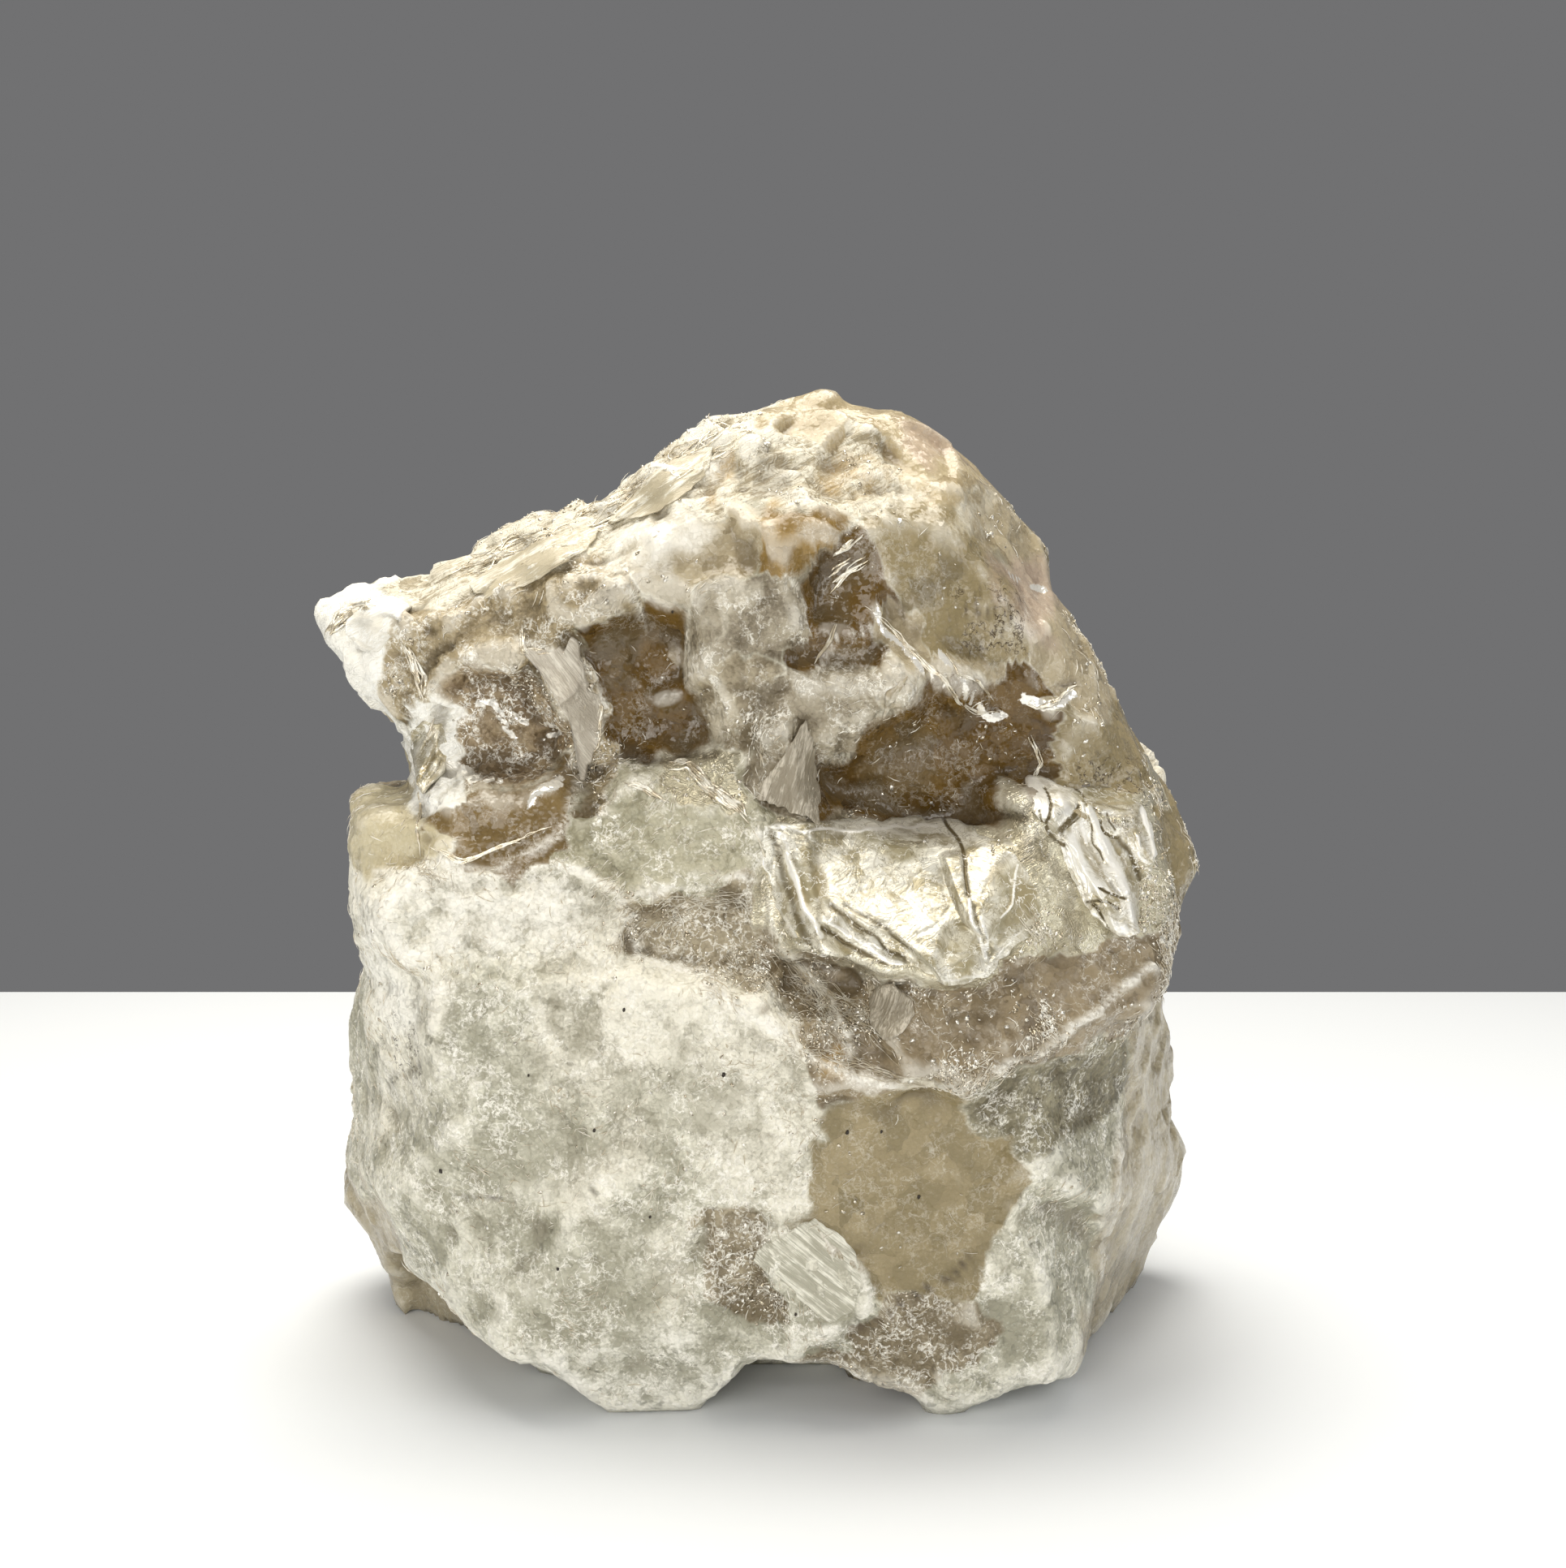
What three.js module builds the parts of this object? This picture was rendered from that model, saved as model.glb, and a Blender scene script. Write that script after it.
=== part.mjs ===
// A broken lump of pegmatite rock: sugary albite feldspar grown together with
// smoky quartz and books of silvery mica. The minerals are one intergrown
// mass, so the lump is one solid. Units are millimetres, +Z is up, the
// showing face looks along -Y, and the origin is the middle of the underside.
import * as THREE from "three";
import { mergeVertices } from "three/addons/utils/BufferGeometryUtils.js";

// Driving dimensions. The tables below are written for a lump this tall.
const HEIGHT = 34;
const TABLE_HEIGHT = 34;
const SCALE = HEIGHT / TABLE_HEIGHT;

// The heart of the lump: the outline is measured around it.
const HEART = new THREE.Vector3(0, 1.5, 15.5);

// How closely the surface is faceted: divisions of a box wrapped around the
// lump, the same across and up, and fewer from front to back.
const DIVISIONS_ACROSS = 40;
const DIVISIONS_DEEP = 10;

// The lump is built outwards from an inner sheet, which is the outline drawn
// in to this share and kept this far above the base.
const SHEET_SHARE = 0.78;
const SHEET_LOWEST = 1.5;
const FARTHEST = 16;

// Outline seen from the front, clockwise from the peak: x, z, and the y where
// the lump is widest there.
const OUTLINE = [
  [2.1, 34.0, 0], [3.1, 33.3, 0], [4.4, 33.1, 0.5], [5.1, 33.1, 0.5],
  [6.5, 32.0, 1], [8.1, 30.5, 1], [9.6, 28.5, 1], [10.5, 26.7, 1],
  [11.4, 25.4, 1], [12.5, 23.3, 1], [13.2, 22.0, 1], [13.8, 20.7, 0.5],
  [14.7, 18.8, 0], [15.2, 17.4, -0.5], [14.8, 16.4, -0.5], [14.5, 15.7, -1],
  [14.8, 13.3, -1], [14.4, 12.3, 1], [15.2, 9.3, 4], [15.5, 6.7, 5],
  [16.1, 5.9, 5.5], [16.6, 4.7, 6], [16.9, 3.1, 6], [16.2, 2.5, 6],
  [15.1, 1.8, 6], [14.8, 0.3, 6], [13.6, -6, 5], [11, -12, 2],
  [-11, -12, 2], [-13.4, -6, 4], [-14.0, 0.1, 4],
  [-14.3, 1.8, 4], [-15.0, 3.7, 3], [-15.5, 4.5, 3], [-15.5, 5.7, 3],
  [-15.1, 7.8, 3], [-14.8, 9.4, 2], [-14.7, 11.6, 1], [-14.5, 12.8, 0],
  [-13.6, 13.9, -1], [-13.7, 14.8, -2], [-13.9, 16.0, -2], [-13.8, 19.4, -2],
  [-14.0, 19.8, -1.5], [-13.7, 20.2, -1], [-11.9, 20.2, -1], [-12.1, 21.8, -0.5],
  [-12.8, 22.9, -0.5], [-13.1, 23.8, -0.5], [-14.0, 24.3, -1], [-14.5, 24.9, -1],
  [-15.0, 26.0, -1], [-14.9, 26.3, -1], [-14.0, 27.0, -0.5], [-13.1, 27.2, 0],
  [-12.1, 27.3, 0], [-10.2, 28.1, 0], [-8.8, 28.9, 0], [-7.3, 29.4, 0],
  [-5.4, 29.9, 0], [-3.9, 31.4, 0], [-2.2, 32.5, 0], [-0.3, 33.1, 0],
  [0.8, 33.6, 0],
];

// Crystal grains and broken facets of the showing face. Each row is a flat
// patch: middle x and z, half width, half height, turn in degrees, the y of
// the patch at its middle, and its slope in y per mm of x and of z.
const FRONT_GRAINS = {
  roof_left: [-9.3, 27.5, 3.3, 0.9, 22, -2.6, -0.1, 0.8],
  roof_mid: [-5.1, 29.0, 2.7, 1.0, 22, -3.2, 0, 0.9],
  roof_upper: [-2.0, 31.1, 1.9, 1.4, 35, -2.9, 0, 1.0],
  peak: [2.0, 32.8, 1.7, 0.9, 0, -1.4, 0, 1.0],
  roof_tan: [0.7, 31.0, 1.1, 1.1, 0, -3.4, 0.05, 0.9],
  roof_stain: [3.1, 30.6, 1.2, 1.3, 0, -3.3, 0, 0.9],
  roof_right: [5.4, 30.9, 1.9, 1.4, -35, -2.3, 0.3, 0.8],
  right_rim: [7.9, 28.6, 0.8, 2.5, 35, -1.6, 0.9, 0.3],
  wedge: [-2.2, 28.2, 2.3, 1.1, 22, -5.2, 0, 0.25],
  lens: [1.1, 28.7, 1.6, 1.0, -10, -5.9, 0.05, 0.2],
  mica_pit: [2.9, 27.3, 1.1, 1.0, 0, -4.7, -0.3, 0.2],
  olive_plane: [6.0, 28.0, 2.5, 1.7, -30, -4.3, 0.35, 0.15],
  dark_veins: [7.4, 25.7, 1.6, 1.2, -30, -4.3, 0.3, 0],
  pale_plate: [10.1, 24.7, 1.1, 1.8, 35, -3.2, 0.6, 0.1],
  white_glint: [9.6, 23.1, 1.2, 0.4, 15, -4.0, 0.2, 0.6],
  silver_line: [5.9, 24.8, 2.7, 0.4, -40, -5.2, 0.1, 0.5],
  blue_white: [-0.4, 26.1, 1.3, 1.2, 0, -5.7, 0, -0.1],
  white_middle: [2.9, 22.9, 1.2, 1.3, 0, -5.8, 0, -0.15],
  lilac_wedge: [4.2, 23.5, 0.9, 1.1, 30, -6.0, -0.3, -0.1],
  brown_window: [2.8, 25.1, 1.0, 0.9, 0, -5.1, 0, -0.1],
  feather: [1.0, 21.1, 0.8, 1.5, 20, -6.2, -0.2, -0.3],
  middle_quartz: [-0.8, 23.8, 1.2, 1.3, 0, -5.6, 0, -0.2],
  brown_recess: [-2.3, 22.8, 0.9, 1.0, 0, -4.1, 0, -0.1],
  hollow: [4.9, 21.2, 2.9, 1.9, 0, -3.9, 0, -0.4],
  hollow_right: [8.1, 22.4, 1.8, 1.6, -20, -3.8, 0.2, -0.25],
  right_tan: [11.0, 21.5, 1.3, 1.2, -30, -3.4, 0.5, -0.1],
  horn: [-13.5, 25.7, 1.2, 1.6, 40, -3.1, -0.5, 0.1],
  horn_root: [-10.9, 25.3, 1.4, 1.5, 0, -4.2, -0.3, 0.1],
  flap: [-5.1, 26.6, 1.2, 0.9, 0, -5.7, 0, 0.1],
  upper_left: [-8.7, 25.8, 1.6, 1.3, 20, -4.8, -0.1, 0.4],
  web: [-6.6, 24.2, 0.7, 1.6, 15, -5.4, 0, 0],
  sparkle_pit: [-8.4, 22.6, 1.7, 1.5, 0, -4.0, 0.1, -0.1],
  olive_pit: [-4.3, 24.5, 1.4, 2.0, 0, -4.1, 0.25, 0],
  web_low: [-5.7, 22.3, 0.5, 1.6, 0, -4.9, 0, -0.1],
  silver_left: [-10.8, 21.5, 0.8, 1.2, 0, -3.7, -0.5, 0],
  block: [-11.9, 19.1, 1.3, 1.6, 0, -5.4, -0.35, 0.15],
  tan_lens: [-8.2, 19.7, 2.2, 1.1, 0, -6.3, 0, 0.35],
  pale_green: [-3.0, 19.1, 2.9, 1.6, 0, -6.7, 0, 0.4],
  mica_cluster: [-1.9, 20.9, 1.2, 0.6, -25, -5.6, 0, 0.8],
  centre_book: [4.2, 17.5, 3.0, 2.0, -5, -7.0, 0.05, 0.75],
  book_folds: [0.7, 17.7, 0.6, 1.8, -10, -6.6, -0.5, 0.4],
  book_right: [7.7, 17.0, 0.9, 1.5, 0, -7.3, 0.15, 0.5],
  crackle: [8.6, 20.1, 1.0, 0.7, 0, -5.6, 0.2, 0.7],
  right_book: [11.1, 17.9, 1.9, 2.0, -60, -5.6, 0.45, 0.4],
  tan_lobe: [14.2, 18.1, 0.5, 1.0, 0, -2.2, 0.9, 0.2],
  band_left: [2.9, 12.8, 1.5, 1.0, -20, -8.4, 0, 0.5],
  band_middle: [5.9, 13.2, 2.2, 1.3, 5, -8.8, 0, 0.5],
  band_right: [10.3, 14.5, 2.6, 1.3, 20, -7.2, 0.4, 0.5],
  silky_hollow: [2.1, 14.5, 1.4, 0.9, -20, -6.5, 0, 0.1],
  blue_crystal: [4.1, 14.4, 0.5, 0.9, -10, -7.9, 0.1, 0.1],
  lilac_patch: [-1.6, 16.3, 2.2, 1.3, 0, -7.0, 0, 0.1],
  white_top: [-8.7, 16.5, 3.8, 1.4, 0, -7.3, 0, 0.3],
  left_bevel: [-11.9, 13.0, 1.2, 2.8, 0, -5.6, -0.7, 0],
  face_left: [-7.2, 11.7, 3.7, 3.0, 0, -8.0, -0.08, 0],
  face_middle: [-2.1, 13.1, 2.5, 2.1, 0, -8.4, 0, 0],
  face_low_left: [-9.9, 6.9, 2.0, 2.8, 0, -6.8, -0.45, -0.25],
  face_low: [-4.8, 5.7, 3.2, 2.7, 0, -7.8, -0.05, -0.2],
  face_right: [-0.8, 9.5, 2.5, 2.5, 0, -8.3, 0, -0.05],
  lobe_left: [-3.5, 1.7, 2.1, 1.1, 0, -6.9, 0, -0.3],
  grey_zone: [-0.9, 6.5, 1.5, 1.2, 0, -7.8, 0, -0.1],
  tan_patch: [4.5, 8.1, 2.9, 2.8, 0, -7.8, 0.05, -0.05],
  white_plate: [1.7, 5.2, 1.7, 1.1, -45, -8.1, 0, -0.1],
  lilac_spots: [-0.1, 4.7, 0.9, 0.8, 0, -7.5, 0, -0.1],
  lilac_low: [5.3, 3.1, 2.0, 1.1, 0, -7.4, 0, -0.25],
  lobe_right: [7.0, 1.5, 1.2, 0.8, 0, -7.0, 0.1, -0.3],
  blue_green: [9.4, 5.4, 1.8, 3.3, 0, -7.1, 0.25, -0.1],
  grey_green: [8.8, 10.5, 1.7, 1.2, 0, -7.3, 0.25, 0],
  right_side: [13.9, 10.0, 0.8, 3.0, 0, -0.5, 2.6, 0],
  right_low: [12.7, 3.0, 1.2, 3.2, 0, -0.75, 2.16, -0.73],
  left_side: [-13.9, 9.3, 0.4, 3.1, 0, -1.0, -2.5, 0],
  left_under: [-13.7, 3.3, 1.0, 2.3, -20, 0.5, -1.5, -0.4],
  under_left: [-10.5, 0.8, 2.5, 1.2, -28, 0.3, -1.0, -0.3],
  notch_left: [-7.1, 0.4, 1.0, 0.6, -20, -3.5, 0, 0],
  notch_middle: [0.5, 0.2, 1.5, 0.8, 0, -2.5, 0, 0],
  notch_small: [4.0, 0, 0.8, 0.5, 0, -4.0, 0, 0],
  notch_right: [9.0, 0, 1.1, 0.5, 10, -3.5, 0, 0],
};

// The same for the back of the lump, which falls away towards the peak.
const BACK_GRAINS = {
  foot_left: [-9, 5, 5, 4.5, 0, 9.0, 0.45, 0.1],
  foot_middle: [-2, 4, 4, 4, 0, 12.0, 0.05, 0],
  foot_right: [6, 5, 5, 4.5, 0, 12.2, -0.15, -0.1],
  foot_corner: [12, 5, 3, 6, 0, 10.0, -0.6, 0],
  waist_left: [-9, 13, 5, 4, 20, 9.0, 0.5, -0.2],
  waist_middle: [-1, 12, 5, 4.5, 0, 11.6, 0.1, -0.3],
  waist_right: [7, 13, 4.5, 4.5, 0, 10.6, -0.3, -0.2],
  waist_corner: [12.5, 14, 3, 4, 0, 6.5, -0.8, -0.1],
  shoulder_left: [-10, 20, 4, 4, 0, 5.0, 0.4, -0.4],
  shoulder_middle: [-3, 20, 5, 4, 0, 8.6, 0.1, -0.5],
  shoulder_right: [5, 21, 5, 4, 0, 7.8, -0.1, -0.45],
  shoulder_corner: [11, 21, 3, 4, 0, 4.2, -0.6, -0.3],
  horn_back: [-12, 25, 3, 2.5, 0, 1.6, 0.1, -0.2],
  neck_left: [-6, 26.5, 4, 2.5, 0, 3.6, 0.1, -0.7],
  neck_middle: [1, 28, 4, 3, 0, 4.8, 0, -0.6],
  neck_right: [7, 27, 3.5, 3.5, 0, 4.0, -0.3, -0.5],
  ridge_back: [2.5, 32, 3, 2, 0, 2.0, 0, -0.9],
};

// How crisply grains meet, and how far their borders waver (mm).
const FRONT_CRISPNESS = 4;
const BACK_CRISPNESS = 4;
const BORDER_WAVER = 0.28;
const WAVER_SIZE = 1.6;
const BACK_PHASE = 3.1;

// Rounding (mm) where the front meets the back, and where both meet the rim.
const RIDGE_ROUNDING = 0.6;
const RIM_ROUNDING = 0.7;
// The rim draws in ahead of and behind its widest line: per mm and per mm².
const DRAW_IN_FRONT = [0.2, 0.035];
const DRAW_IN_BACK = [0.1, 0.045];
// Within this radius of the heart's axis the rim has no say.
const RIM_FREE_RADIUS = 4;

// Conchoidal breaks all round: tilted facets about this size (mm), how
// crisply they meet, how much they tilt and how far they step in and out.
const BREAK_SIZE = 7;
const BREAK_CRISPNESS = 12;
const BREAK_TILT = 0.8;
const BREAK_STEP = 0.1;
// Their strength where the surface looks ahead, sideways and back (degrees).
const BREAK_STRENGTH = [[0, 0.08], [70, 0.1], [95, 0.12], [110, 0.35], [135, 1], [180, 1]];
// They fade out this close to the flat base (mm).
const BREAK_FADE = 1.5;

// A waver of two octaves between about -1 and 1.
function waver(x, z) {
  const a = x / WAVER_SIZE;
  const b = z / WAVER_SIZE;
  const broad = Math.sin(2.1 * a + 1.3 * Math.sin(1.7 * b + 0.4));
  const fine = Math.sin(4.3 * b + 2.9 * a + 1.9 * Math.sin(3.1 * a));
  return (broad + 0.5 * fine) / 1.5;
}

// The y of a face made of grains: each grain's plane counts by how near its
// middle is, so the nearest grain wins and neighbours meet in a short slope.
function grainFace(grains, crispness, phase) {
  const rows = Object.values(grains).map(([x, z, w, h, turn, y, slopeX, slopeZ]) => {
    const angle = THREE.MathUtils.degToRad(turn);
    return { x, z, w, h, y, slopeX, slopeZ, cos: Math.cos(angle), sin: Math.sin(angle) };
  });
  return (x, z) => {
    const wx = x + BORDER_WAVER * waver(x + phase, z);
    const wz = z + BORDER_WAVER * waver(z - phase, x + 7.7);
    const far = rows.map((g) => {
      const along = ((wx - g.x) * g.cos + (wz - g.z) * g.sin) / g.w;
      const across = ((wz - g.z) * g.cos - (wx - g.x) * g.sin) / g.h;
      return along * along + across * across;
    });
    const nearest = Math.min(...far);
    let sum = 0;
    let weights = 0;
    rows.forEach((g, i) => {
      const weight = Math.exp(-crispness * (far[i] - nearest));
      sum += weight * (g.y + g.slopeX * (x - g.x) + g.slopeZ * (z - g.z));
      weights += weight;
    });
    return sum / weights;
  };
}

// The outline as a radius around the heart, and the y of the widest line.
function rimAround() {
  const points = OUTLINE.map(([x, z, y]) => ({
    angle: Math.atan2(z - HEART.z, x - HEART.x),
    radius: Math.hypot(x - HEART.x, z - HEART.z),
    y,
  })).sort((a, b) => a.angle - b.angle);
  return (angle) => {
    const next = points.findIndex((p) => p.angle > angle);
    const b = points[next < 0 ? 0 : next];
    const a = points[(next < 0 ? 0 : next) > 0 ? next - 1 : points.length - 1];
    const turn = 2 * Math.PI;
    const span = (b.angle - a.angle + turn) % turn;
    const part = ((angle - a.angle + turn) % turn) / span;
    return { radius: a.radius + (b.radius - a.radius) * part, y: a.y + (b.y - a.y) * part };
  };
}

function roundedMax(a, b, rounding) {
  const near = Math.max(rounding - Math.abs(a - b), 0) / rounding;
  return Math.max(a, b) + (near * near * rounding) / 4;
}

const front = grainFace(FRONT_GRAINS, FRONT_CRISPNESS, 0);
const back = grainFace(BACK_GRAINS, BACK_CRISPNESS, BACK_PHASE);
const rim = rimAround();

// Below zero inside the lump, above zero outside it.
function outside(p) {
  const faces = roundedMax(front(p.x, p.z) - p.y, p.y - back(p.x, p.z), RIDGE_ROUNDING);
  const radius = Math.hypot(p.x - HEART.x, p.z - HEART.z);
  let shape = faces;
  if (radius > RIM_FREE_RADIUS) {
    const edge = rim(Math.atan2(p.z - HEART.z, p.x - HEART.x));
    const away = Math.abs(p.y - edge.y);
    const [first, second] = p.y < edge.y ? DRAW_IN_FRONT : DRAW_IN_BACK;
    const drawnIn = first * away + second * away * away;
    shape = roundedMax(faces, radius - (edge.radius - drawnIn), RIM_ROUNDING);
  }
  return Math.max(shape, -p.z);
}

// A number from 0 to 1 for a cell, different for each salt.
function cellNumber(i, j, k, salt) {
  const v = Math.sin(i * 127.1 + j * 311.7 + k * 74.7 + salt * 191.3) * 43758.5453;
  return v - Math.floor(v);
}

// How far the breaks push the surface in or out at a point: every cell of
// space holds a middle and a tilted plane, and the nearest middle wins.
function breakDepth(p) {
  const [x, y, z] = [p.x / BREAK_SIZE, p.y / BREAK_SIZE, p.z / BREAK_SIZE];
  const found = [];
  for (let i = Math.floor(x) - 1; i <= Math.floor(x) + 1; i++) {
    for (let j = Math.floor(y) - 1; j <= Math.floor(y) + 1; j++) {
      for (let k = Math.floor(z) - 1; k <= Math.floor(z) + 1; k++) {
        const ex = x - i - cellNumber(i, j, k, 1);
        const ey = y - j - cellNumber(i, j, k, 2);
        const ez = z - k - cellNumber(i, j, k, 3);
        const tilt = ex * (cellNumber(i, j, k, 4) - 0.5)
          + ey * (cellNumber(i, j, k, 5) - 0.5) + ez * (cellNumber(i, j, k, 6) - 0.5);
        const step = cellNumber(i, j, k, 7) - 0.5;
        const depth = BREAK_TILT * tilt + BREAK_STEP * step;
        found.push({ far: ex * ex + ey * ey + ez * ez, depth });
      }
    }
  }
  const nearest = Math.min(...found.map((cell) => cell.far));
  let sum = 0;
  let weights = 0;
  for (const { far, depth } of found) {
    const weight = Math.exp(-BREAK_CRISPNESS * (far - nearest));
    sum += weight * depth;
    weights += weight;
  }
  return (BREAK_SIZE * sum) / weights;
}

function stepwise(table, at) {
  const next = table.findIndex(([where]) => where >= at);
  if (next <= 0) return table[Math.max(next, 0)][1];
  const [[a, low], [b, high]] = [table[next - 1], table[next]];
  return low + ((high - low) * (at - a)) / (b - a);
}

// A corner of the box grid becomes a ray from the inner sheet. Concentric
// squares of the box's front and back become rings of the sheet. The ray
// looks straight ahead in the middle and fans out to 45 degrees at its edge,
// and the box's sides carry it on round to the back.
function ray(corner) {
  const ring = Math.max(Math.abs(corner.x), Math.abs(corner.z));
  const quarter = Math.PI / 4;
  let around = 0;
  if (ring > 0 && Math.abs(corner.x) >= Math.abs(corner.z)) {
    around = corner.x > 0 ? corner.z / ring : 4 - corner.z / ring;
  } else if (ring > 0) {
    around = corner.z > 0 ? 2 - corner.x / ring : 6 + corner.x / ring;
  }
  around *= quarter;
  if (around > Math.PI) around -= 2 * Math.PI;
  const edge = rim(around);
  const [cos, sin] = [Math.cos(around), Math.sin(around)];
  const onFace = Math.abs(corner.y) > 1 - 1e-6;
  const share = onFace ? ring : 1;
  let reach = SHEET_SHARE * edge.radius;
  if (sin < 0) reach = Math.min(reach, (HEART.z - SHEET_LOWEST) / -sin);
  const lean = onFace ? quarter * share ** 3 : quarter * (2 - Math.abs(corner.y));
  const turn = corner.y < 0 ? lean : Math.PI - lean;
  return {
    from: new THREE.Vector3(
      HEART.x + reach * share * cos,
      HEART.y + (edge.y - HEART.y) * share * share,
      HEART.z + reach * share * sin,
    ),
    to: new THREE.Vector3(Math.sin(turn) * cos, -Math.cos(turn), Math.sin(turn) * sin),
    degrees: THREE.MathUtils.radToDeg(turn),
  };
}

// The outermost crossing of the surface along a ray, then pushed by the
// breaks. What lies on the flat base stays there.
const MARCH_STEP = 0.18;
const HALVINGS = 18;
const ON_BASE = 0.01;
function surfacePoint({ from, to, degrees }) {
  const at = (distance) => from.clone().addScaledVector(to, distance);
  let outer = FARTHEST;
  while (outer > MARCH_STEP && outside(at(outer - MARCH_STEP)) > 0) outer -= MARCH_STEP;
  let inner = outer - MARCH_STEP;
  for (let i = 0; i < HALVINGS; i++) {
    const middle = (inner + outer) / 2;
    if (outside(at(middle)) > 0) outer = middle;
    else inner = middle;
  }
  const p = at(inner);
  if (p.z < ON_BASE) return p.setZ(0);
  const fade = Math.min(p.z / BREAK_FADE, 1);
  p.addScaledVector(to, fade * stepwise(BREAK_STRENGTH, degrees) * breakDepth(p));
  return p.setZ(Math.max(p.z, 0));
}

// Draws each corner some way towards the middle of its neighbours, which
// takes out slivers and keeps the facets clean. The base stays flat.
const RELAX_PASSES = 1;
const RELAX_SHARE = 0.5;
function relax(geometry) {
  const place = geometry.attributes.position;
  const index = geometry.index;
  const neighbours = Array.from({ length: place.count }, () => new Set());
  for (let i = 0; i < index.count; i += 3) {
    const corners = [index.getX(i), index.getX(i + 1), index.getX(i + 2)];
    for (const a of corners) for (const b of corners) if (a !== b) neighbours[a].add(b);
  }
  for (let pass = 0; pass < RELAX_PASSES; pass++) {
    const old = place.clone();
    const corner = new THREE.Vector3();
    const middle = new THREE.Vector3();
    const other = new THREE.Vector3();
    for (let i = 0; i < place.count; i++) {
      corner.fromBufferAttribute(old, i);
      middle.set(0, 0, 0);
      for (const j of neighbours[i]) middle.add(other.fromBufferAttribute(old, j));
      middle.divideScalar(neighbours[i].size);
      if (corner.z === 0) middle.z = 0;
      corner.lerp(middle, RELAX_SHARE);
      place.setXYZ(i, corner.x, corner.y, corner.z);
    }
  }
}

// The surface: every corner of a box grid is sent along its ray.
function lumpGeometry() {
  const box = new THREE.BoxGeometry(
    2, 2, 2, DIVISIONS_ACROSS, DIVISIONS_DEEP, DIVISIONS_ACROSS,
  );
  box.deleteAttribute("normal");
  box.deleteAttribute("uv");
  const geometry = mergeVertices(box);
  const place = geometry.attributes.position;
  const corner = new THREE.Vector3();
  for (let i = 0; i < place.count; i++) {
    const p = surfacePoint(ray(corner.fromBufferAttribute(place, i)));
    place.setXYZ(i, p.x, p.y, p.z);
  }
  relax(geometry);
  geometry.computeBoundingBox();
  const middle = geometry.boundingBox.getCenter(new THREE.Vector3());
  geometry.translate(-middle.x, -middle.y, 0);
  geometry.scale(SCALE, SCALE, SCALE);
  geometry.computeVertexNormals();
  return geometry;
}

const albite = new THREE.MeshStandardMaterial({
  color: 0xd4cfb9, roughness: 0.7, metalness: 0, flatShading: true,
});
const specimen = new THREE.Mesh(lumpGeometry(), albite);
specimen.name = "specimen";

const model = new THREE.Group();
model.add(specimen);
export default model;
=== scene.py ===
# %% [markdown]
# # A broken lump of pegmatite
# The lump is albite feldspar, quartz and mica that grew together and then
# broke off as one piece, so it is one CAD solid. This notebook gives it the
# surface of the real thing: crystal grains and pits worked out with numpy,
# thin mica sheets laid on it, and one procedural finish for all its minerals.

# %% The frame
import math
import bpy
import numpy as np
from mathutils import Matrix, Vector


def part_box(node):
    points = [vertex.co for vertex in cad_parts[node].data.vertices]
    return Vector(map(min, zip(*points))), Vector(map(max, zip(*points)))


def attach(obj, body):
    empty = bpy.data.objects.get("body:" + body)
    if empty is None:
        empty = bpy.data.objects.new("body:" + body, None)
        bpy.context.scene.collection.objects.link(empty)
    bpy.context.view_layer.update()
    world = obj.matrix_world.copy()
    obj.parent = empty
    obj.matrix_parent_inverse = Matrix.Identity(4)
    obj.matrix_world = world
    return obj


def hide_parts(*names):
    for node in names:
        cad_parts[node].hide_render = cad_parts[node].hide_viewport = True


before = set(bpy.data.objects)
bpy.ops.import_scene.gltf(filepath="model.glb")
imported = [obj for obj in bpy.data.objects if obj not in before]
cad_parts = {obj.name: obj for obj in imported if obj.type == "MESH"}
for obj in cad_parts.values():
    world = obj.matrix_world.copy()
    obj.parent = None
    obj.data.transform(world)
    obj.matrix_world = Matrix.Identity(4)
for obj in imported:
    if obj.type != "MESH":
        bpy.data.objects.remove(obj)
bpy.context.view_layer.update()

MM = 0.001
LUMP_NODE = "specimen"
BODY = "root"

# %% [markdown]
# ## The outline and the grains
# A rock could be sculpted, but then every lump would need new handwork. Here
# the form is two short tables in millimetres. One is the outline seen from
# the front, with the depth at which the lump is widest. The other lists the
# flat patches of the broken face, each with its place, its slope and the
# mineral that it is made of.

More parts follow.
